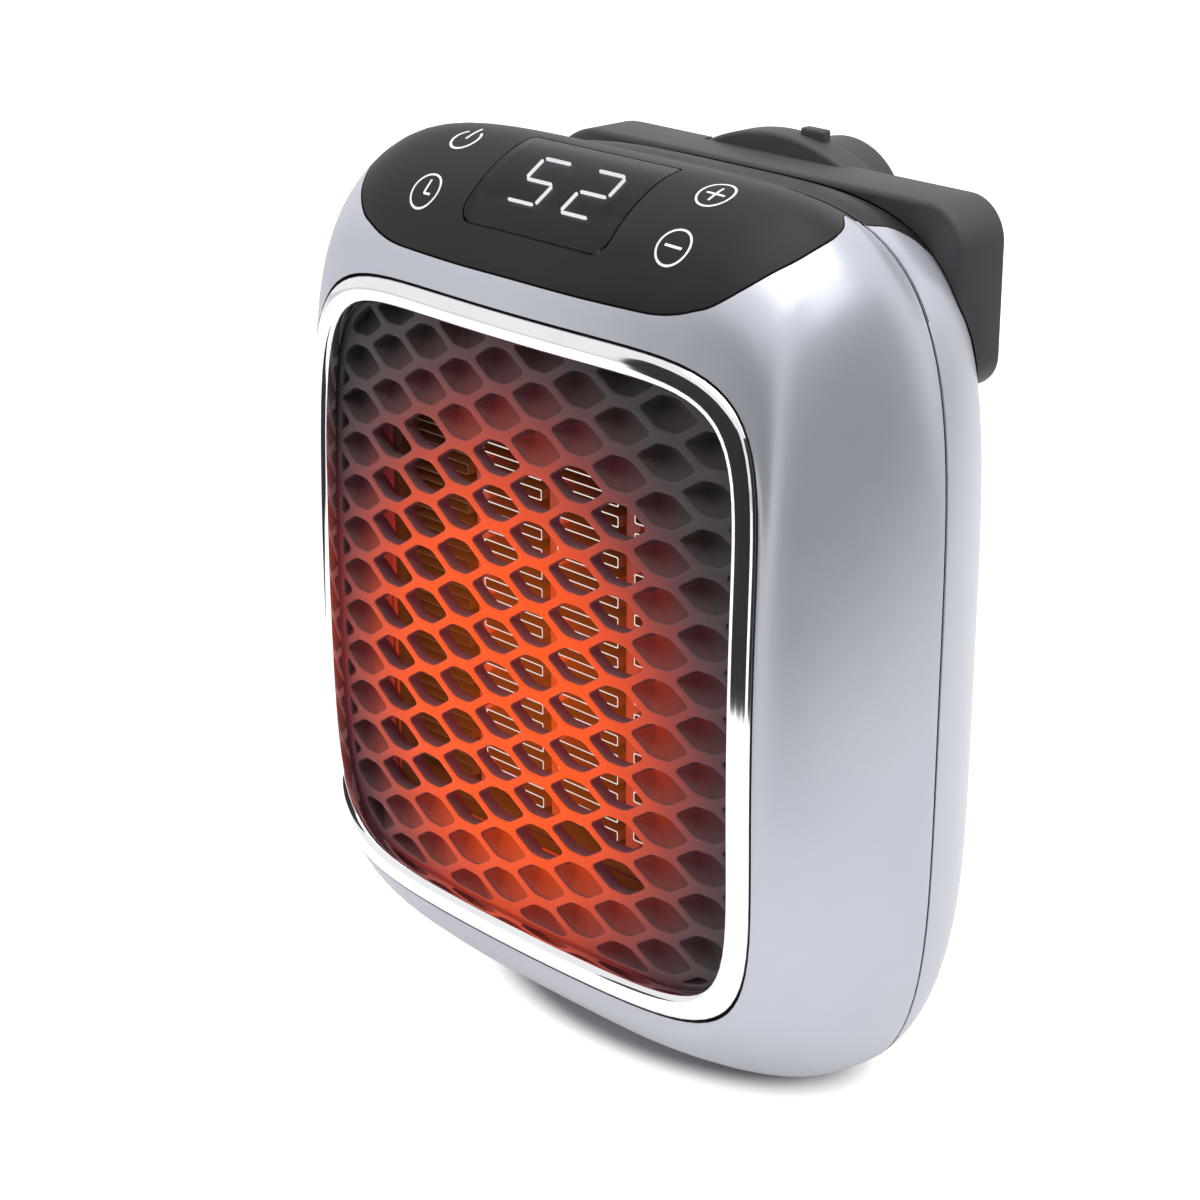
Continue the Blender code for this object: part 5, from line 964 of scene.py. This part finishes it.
# Saddle: a black cross piece moulded to the shoulder of the rear housing. A round well in
# it clears the swivel disc.
saddle_half, saddle_top, saddle_low, saddle_back, saddle_thick = 0.0473, 0.0707, 0.0402, 0.0630, 0.0109
outline = []
for side, level, radius, first in ((1, 1, 0.0070, 0), (-1, 1, 0.0140, 90), (-1, -1, 0.0055, 180),
                                   (1, -1, 0.0055, 270)):
    centre = saddle_top - radius if level > 0 else saddle_low + radius
    outline += arc(side * (saddle_half - radius), centre, radius, first, first + 90, 15)
saddle = shown(drawn([outline], saddle_thick, "saddle", upright, -saddle_back, 0.0009))
grown = body_skin[seam_row - 5:] + skin_normal[seam_row - 5:] * FIT
seat = shown(mesh_from_loops(list(grown), False, "seat"))
DISC = 0.0360
well = rod(0.0, SWIVEL, BACK, 0.0680, DISC + FIT, 120)
carve(saddle, [(seat, "DIFFERENCE"), (well, "DIFFERENCE")])
rounded(saddle)
rear_black = finish_of("rear_black_moulding", (0.036, 0.036, 0.038), (0.046, 0.046, 0.049),
                       (0.46, 0.58), grain=2800.0, cloud=60.0, bump=0.2, height=0.00003,
                       Specular_IOR_Level=0.25)
finished(saddle, "saddle", "black_moulding", rear_black, stands_for=["rear_saddle"])

# Swivel disc: a round moulding with a sleeve that turns in the rear housing. A small tab on
# its rim shows how far the plug is turned.
disc_rows = [(0.0603, 0.0140), (0.0603, 0.0352), (0.06037, 0.03557), (0.0606, 0.03585),
             (0.0611, DISC), (0.0652, DISC), (0.0657, 0.03585), (0.06593, 0.03557),
             (0.0660, 0.0352), (0.0660, 0.0338), (0.0657, 0.0336), (0.0657, 0.0331),
             (0.0660, 0.0329), (0.0660, 0.0105), (0.0546, 0.0105), (0.0546, 0.0140),
             (0.0555, 0.0140), (0.0555, 0.0130), (0.0574, 0.0130), (0.0574, 0.0140)]
disc = shown(turned(disc_rows, 0.0, SWIVEL, 128, "disc"))
tab = shown(block((0.0030, 0.0633, SWIVEL + 0.0334), (0.0080, 0.0656, SWIVEL + 0.0370), 0.0005))
carve(disc, [(tab, "UNION")])
rounded(disc)
finished(disc, "turning_disc", "black_moulding", rear_black, rides="plug",
         stands_for=["swivel_disc"])

# Plug body: a tall rounded bar for the fingers, with slots for the two blades and a
# shallow step round its end.
PLUG_HALF, PLUG_REACH, PLUG_ROUND, PLUG_SHOULDER = 0.0129, 0.0201, 0.0020, 0.0780
BLADE_OUT, SLIT_HALF, SLIT_RISE = 0.00635, 0.00105, 0.00345


def stadium(inset, depth):
    """A loop of the plug's upright outline."""
    points = arc(0.0, PLUG_REACH, PLUG_HALF - inset, 0, 180, 28)
    points += [(-x, -z) for x, z in points]
    return [(x, FACE_DEPTH + depth, SWIVEL + z) for x, z in points]


plug_rows = [(0.0010, 0.0663), (0.0, 0.0668), (0.0, 0.0690), (0.0005, 0.0692), (0.0005, 0.0697),
             (0.0, 0.0699), (0.0, PLUG_SHOULDER)]
plug_rows += [(PLUG_ROUND * (1 - math.cos(t)), PLUG_SHOULDER + PLUG_ROUND * math.sin(t))
              for t in (0.3, 0.6, 0.9, 1.2, 1.5708)]
plug = shown(mesh_from_loops([stadium(*row) for row in plug_rows], False, "plug"))
carve(plug, [(shown(block((x - SLIT_HALF, 0.0600, SWIVEL - SLIT_RISE),
                          (x + SLIT_HALF, 0.0820, SWIVEL + SLIT_RISE))), "DIFFERENCE")
             for x in (-BLADE_OUT, BLADE_OUT)])
rounded(plug)
finished(plug, "plug_bar", "black_moulding", rear_black, rides="plug", stands_for=["plug_body"])

# Blades: stamped brass with a dull nickel tint, two flat pins with chamfered tips, pushed
# into the plug from behind. They keep their frame shapes.
brass = finish_of("stamped_brass", (0.60, 0.50, 0.26), (0.70, 0.60, 0.34), (0.22, 0.34),
                  grain=2400.0, cloud=260.0, bump=0.12, Metallic=1.0)
dressed(["plug_blade_left", "plug_blade_right"], brass)

# Case screws: four steel pan heads with a crossed recess, sunk in wells of the rear housing.
# They hold the two halves of the housing together.
screw_rows = [(0.0308, 0.0008), (0.0322, 0.0014), (0.05635, 0.0014), (0.05635, 0.0026),
              (0.0571, 0.0026), (0.0576, 0.0024), (0.05785, 0.0019), (0.05795, 0.0010)]
for index, (x, z) in enumerate(post_spots):
    screw = shown(turned(screw_rows, x, z, 32, "screw", closed=False))
    carve(screw, [(shown(block((x - a, 0.0571, z - b), (x + a, 0.0600, z + b))),
                   "DIFFERENCE") for a, b in ((0.0014, 0.0003), (0.0003, 0.0014))])
    rounded(screw)
    finished(screw, f"housing_screw_{index + 1}", "bare_steel", steel,
             stands_for=[f"case_screw_{index + 1}"])

# Studio: a pale floor with a painted shadow under the object as well as its real one, a white
# surround, three soft lamps and a dark card that only reflections show. The camera stands
# where the photograph was taken.


def seen_share(tree, mirrored):
    """One for rays from the camera or through glass, and a share for mirrored ones."""
    path = added(tree, "LightPath")
    seen = added(tree, "Math", ("operation", "MULTIPLY_ADD"))
    seen.inputs[1].default_value = mirrored
    through = added(tree, "Math", ("operation", "MAXIMUM"))
    linked(tree, (path, "Is Glossy Ray", seen, 0), (path, "Is Camera Ray", seen, 2),
           (seen, "Value", through, 0), (path, "Is Transmission Ray", through, 1))
    return through


floor_mesh = bpy.data.meshes.new("studio_floor")
floor_mesh.from_pydata([(-4, -4, 0), (4, -4, 0), (4, 4, 0), (-4, 4, 0)], [], [(0, 1, 2, 3)])
studio_floor = shown(floor_mesh)
floor_white = bpy.data.materials.new("studio_floor_white")
floor_white.use_nodes = True
tree = floor_white.node_tree
shader = preset(tree.nodes["Principled BSDF"], Base_Color=(0.68, 0.68, 0.68, 1.0),
                Roughness=0.90, Specular_IOR_Level=0.0, Emission_Color=(1, 1, 1, 1))
through = seen_share(tree, 0.52)
# Painted shadow: the floor's white glow is held back over an oval round the footprint, so the floor is
# darker there under the object, on top of its real shadow.
where = added(tree, "TexCoord")
footprint = added(tree, "Mapping", ("vector_type", "TEXTURE"),
                  Location=(0.0, FACE_DEPTH + 0.0400, 0.0), Scale=(0.040, 0.021, 1.0))
away = added(tree, "VectorMath", ("operation", "LENGTH"))
outside_painted_shadow = added(tree, "MapRange", ("interpolation_type", "SMOOTHSTEP"),
               From_Min=0.84, From_Max=1.16, To_Min=0.0, To_Max=0.85)
part_white = added(tree, "Math", ("operation", "MULTIPLY"))
linked(tree, (where, "Object", footprint, "Vector"), (footprint, "Vector", away, 0),
       (away, "Value", outside_painted_shadow, "Value"), (outside_painted_shadow, "Result", part_white, 1),
       (through, "Value", part_white, 0), (part_white, "Value", shader, "Emission Strength"))
floor_mesh.materials.append(floor_white)
studio_floor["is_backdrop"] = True

world = bpy.data.worlds.new("studio_world")
bpy.context.scene.world = world
world.use_nodes = True
tree = world.node_tree
sky = preset(tree.nodes["Background"], Color=(1, 1, 1, 1))
level = added(tree, "MapRange", To_Min=0.40, To_Max=1.0)
linked(tree, (seen_share(tree, 1.0), "Value", level, "Value"), (level, "Result", sky, "Strength"))

middle = Vector((0.0, 0.0, 0.075))
for name, spot, size, power in (
        ("left_lamp", (-0.60, -0.55, 0.75), 0.80, 5.0),
        ("right_lamp", (0.70, 0.25, 0.60), 0.60, 2.0),
        ("top_lamp", (0.15, 0.00, 0.90), 0.90, 9.0)):
    lamp = bpy.data.lights.new(name, "AREA")
    lamp.size = size
    lamp.energy = power
    held = shown(lamp)
    held.location = spot
    held.rotation_euler = (middle - Vector(spot)).to_track_quat("-Z", "Y").to_euler()
    held.visible_glossy = name != "left_lamp"

card_mesh = bpy.data.meshes.new("dark_card")
card_line = ((-0.055, -0.155), (0.008, -0.190), (0.086, -0.190), (0.157, -0.147),
             (0.190, -0.090), (0.190, 0.040), (0.190, 0.120), (0.150, 0.200))
card_mesh.from_pydata([(x, y, z) for z in (0.02, 0.20) for x, y in card_line], [],
                      [(k, k + 1, k + 9, k + 8) for k in (0, 1, 2, 4, 5, 6)])
dark_card = shown(card_mesh)
card_black = finish_of("card_black", (0.010, 0.010, 0.011), (0.020, 0.020, 0.022), (0.80, 0.90))
card_mesh.materials.append(card_black)
dark_card.visible_camera = False
dark_card.visible_diffuse = False
dark_card.visible_shadow = False
dark_card.visible_transmission = False
dark_card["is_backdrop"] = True

around, above = math.radians(46.87), math.radians(20.79)
back = Vector((math.sin(around) * math.cos(above), -math.cos(around) * math.cos(above),
               math.sin(above)))
right = Vector((math.cos(around), math.sin(around), 0.0))
up = back.cross(right)
camera = shown(bpy.data.cameras.new("camera"))
camera.data.lens = 87.75
camera.data.sensor_width = 36.0
camera.data.clip_start = 0.01
stand = back * 0.4649 + right * 0.0157 + up * 0.0076 + Vector((0.0, FACE_DEPTH, OUTLET))
camera.matrix_world = (Matrix.Translation(stand)
                       @ Matrix((right, up, back)).transposed().to_4x4())
bpy.context.scene.camera = camera
bpy.context.scene.view_settings.view_transform = "Standard"

low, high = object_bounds()
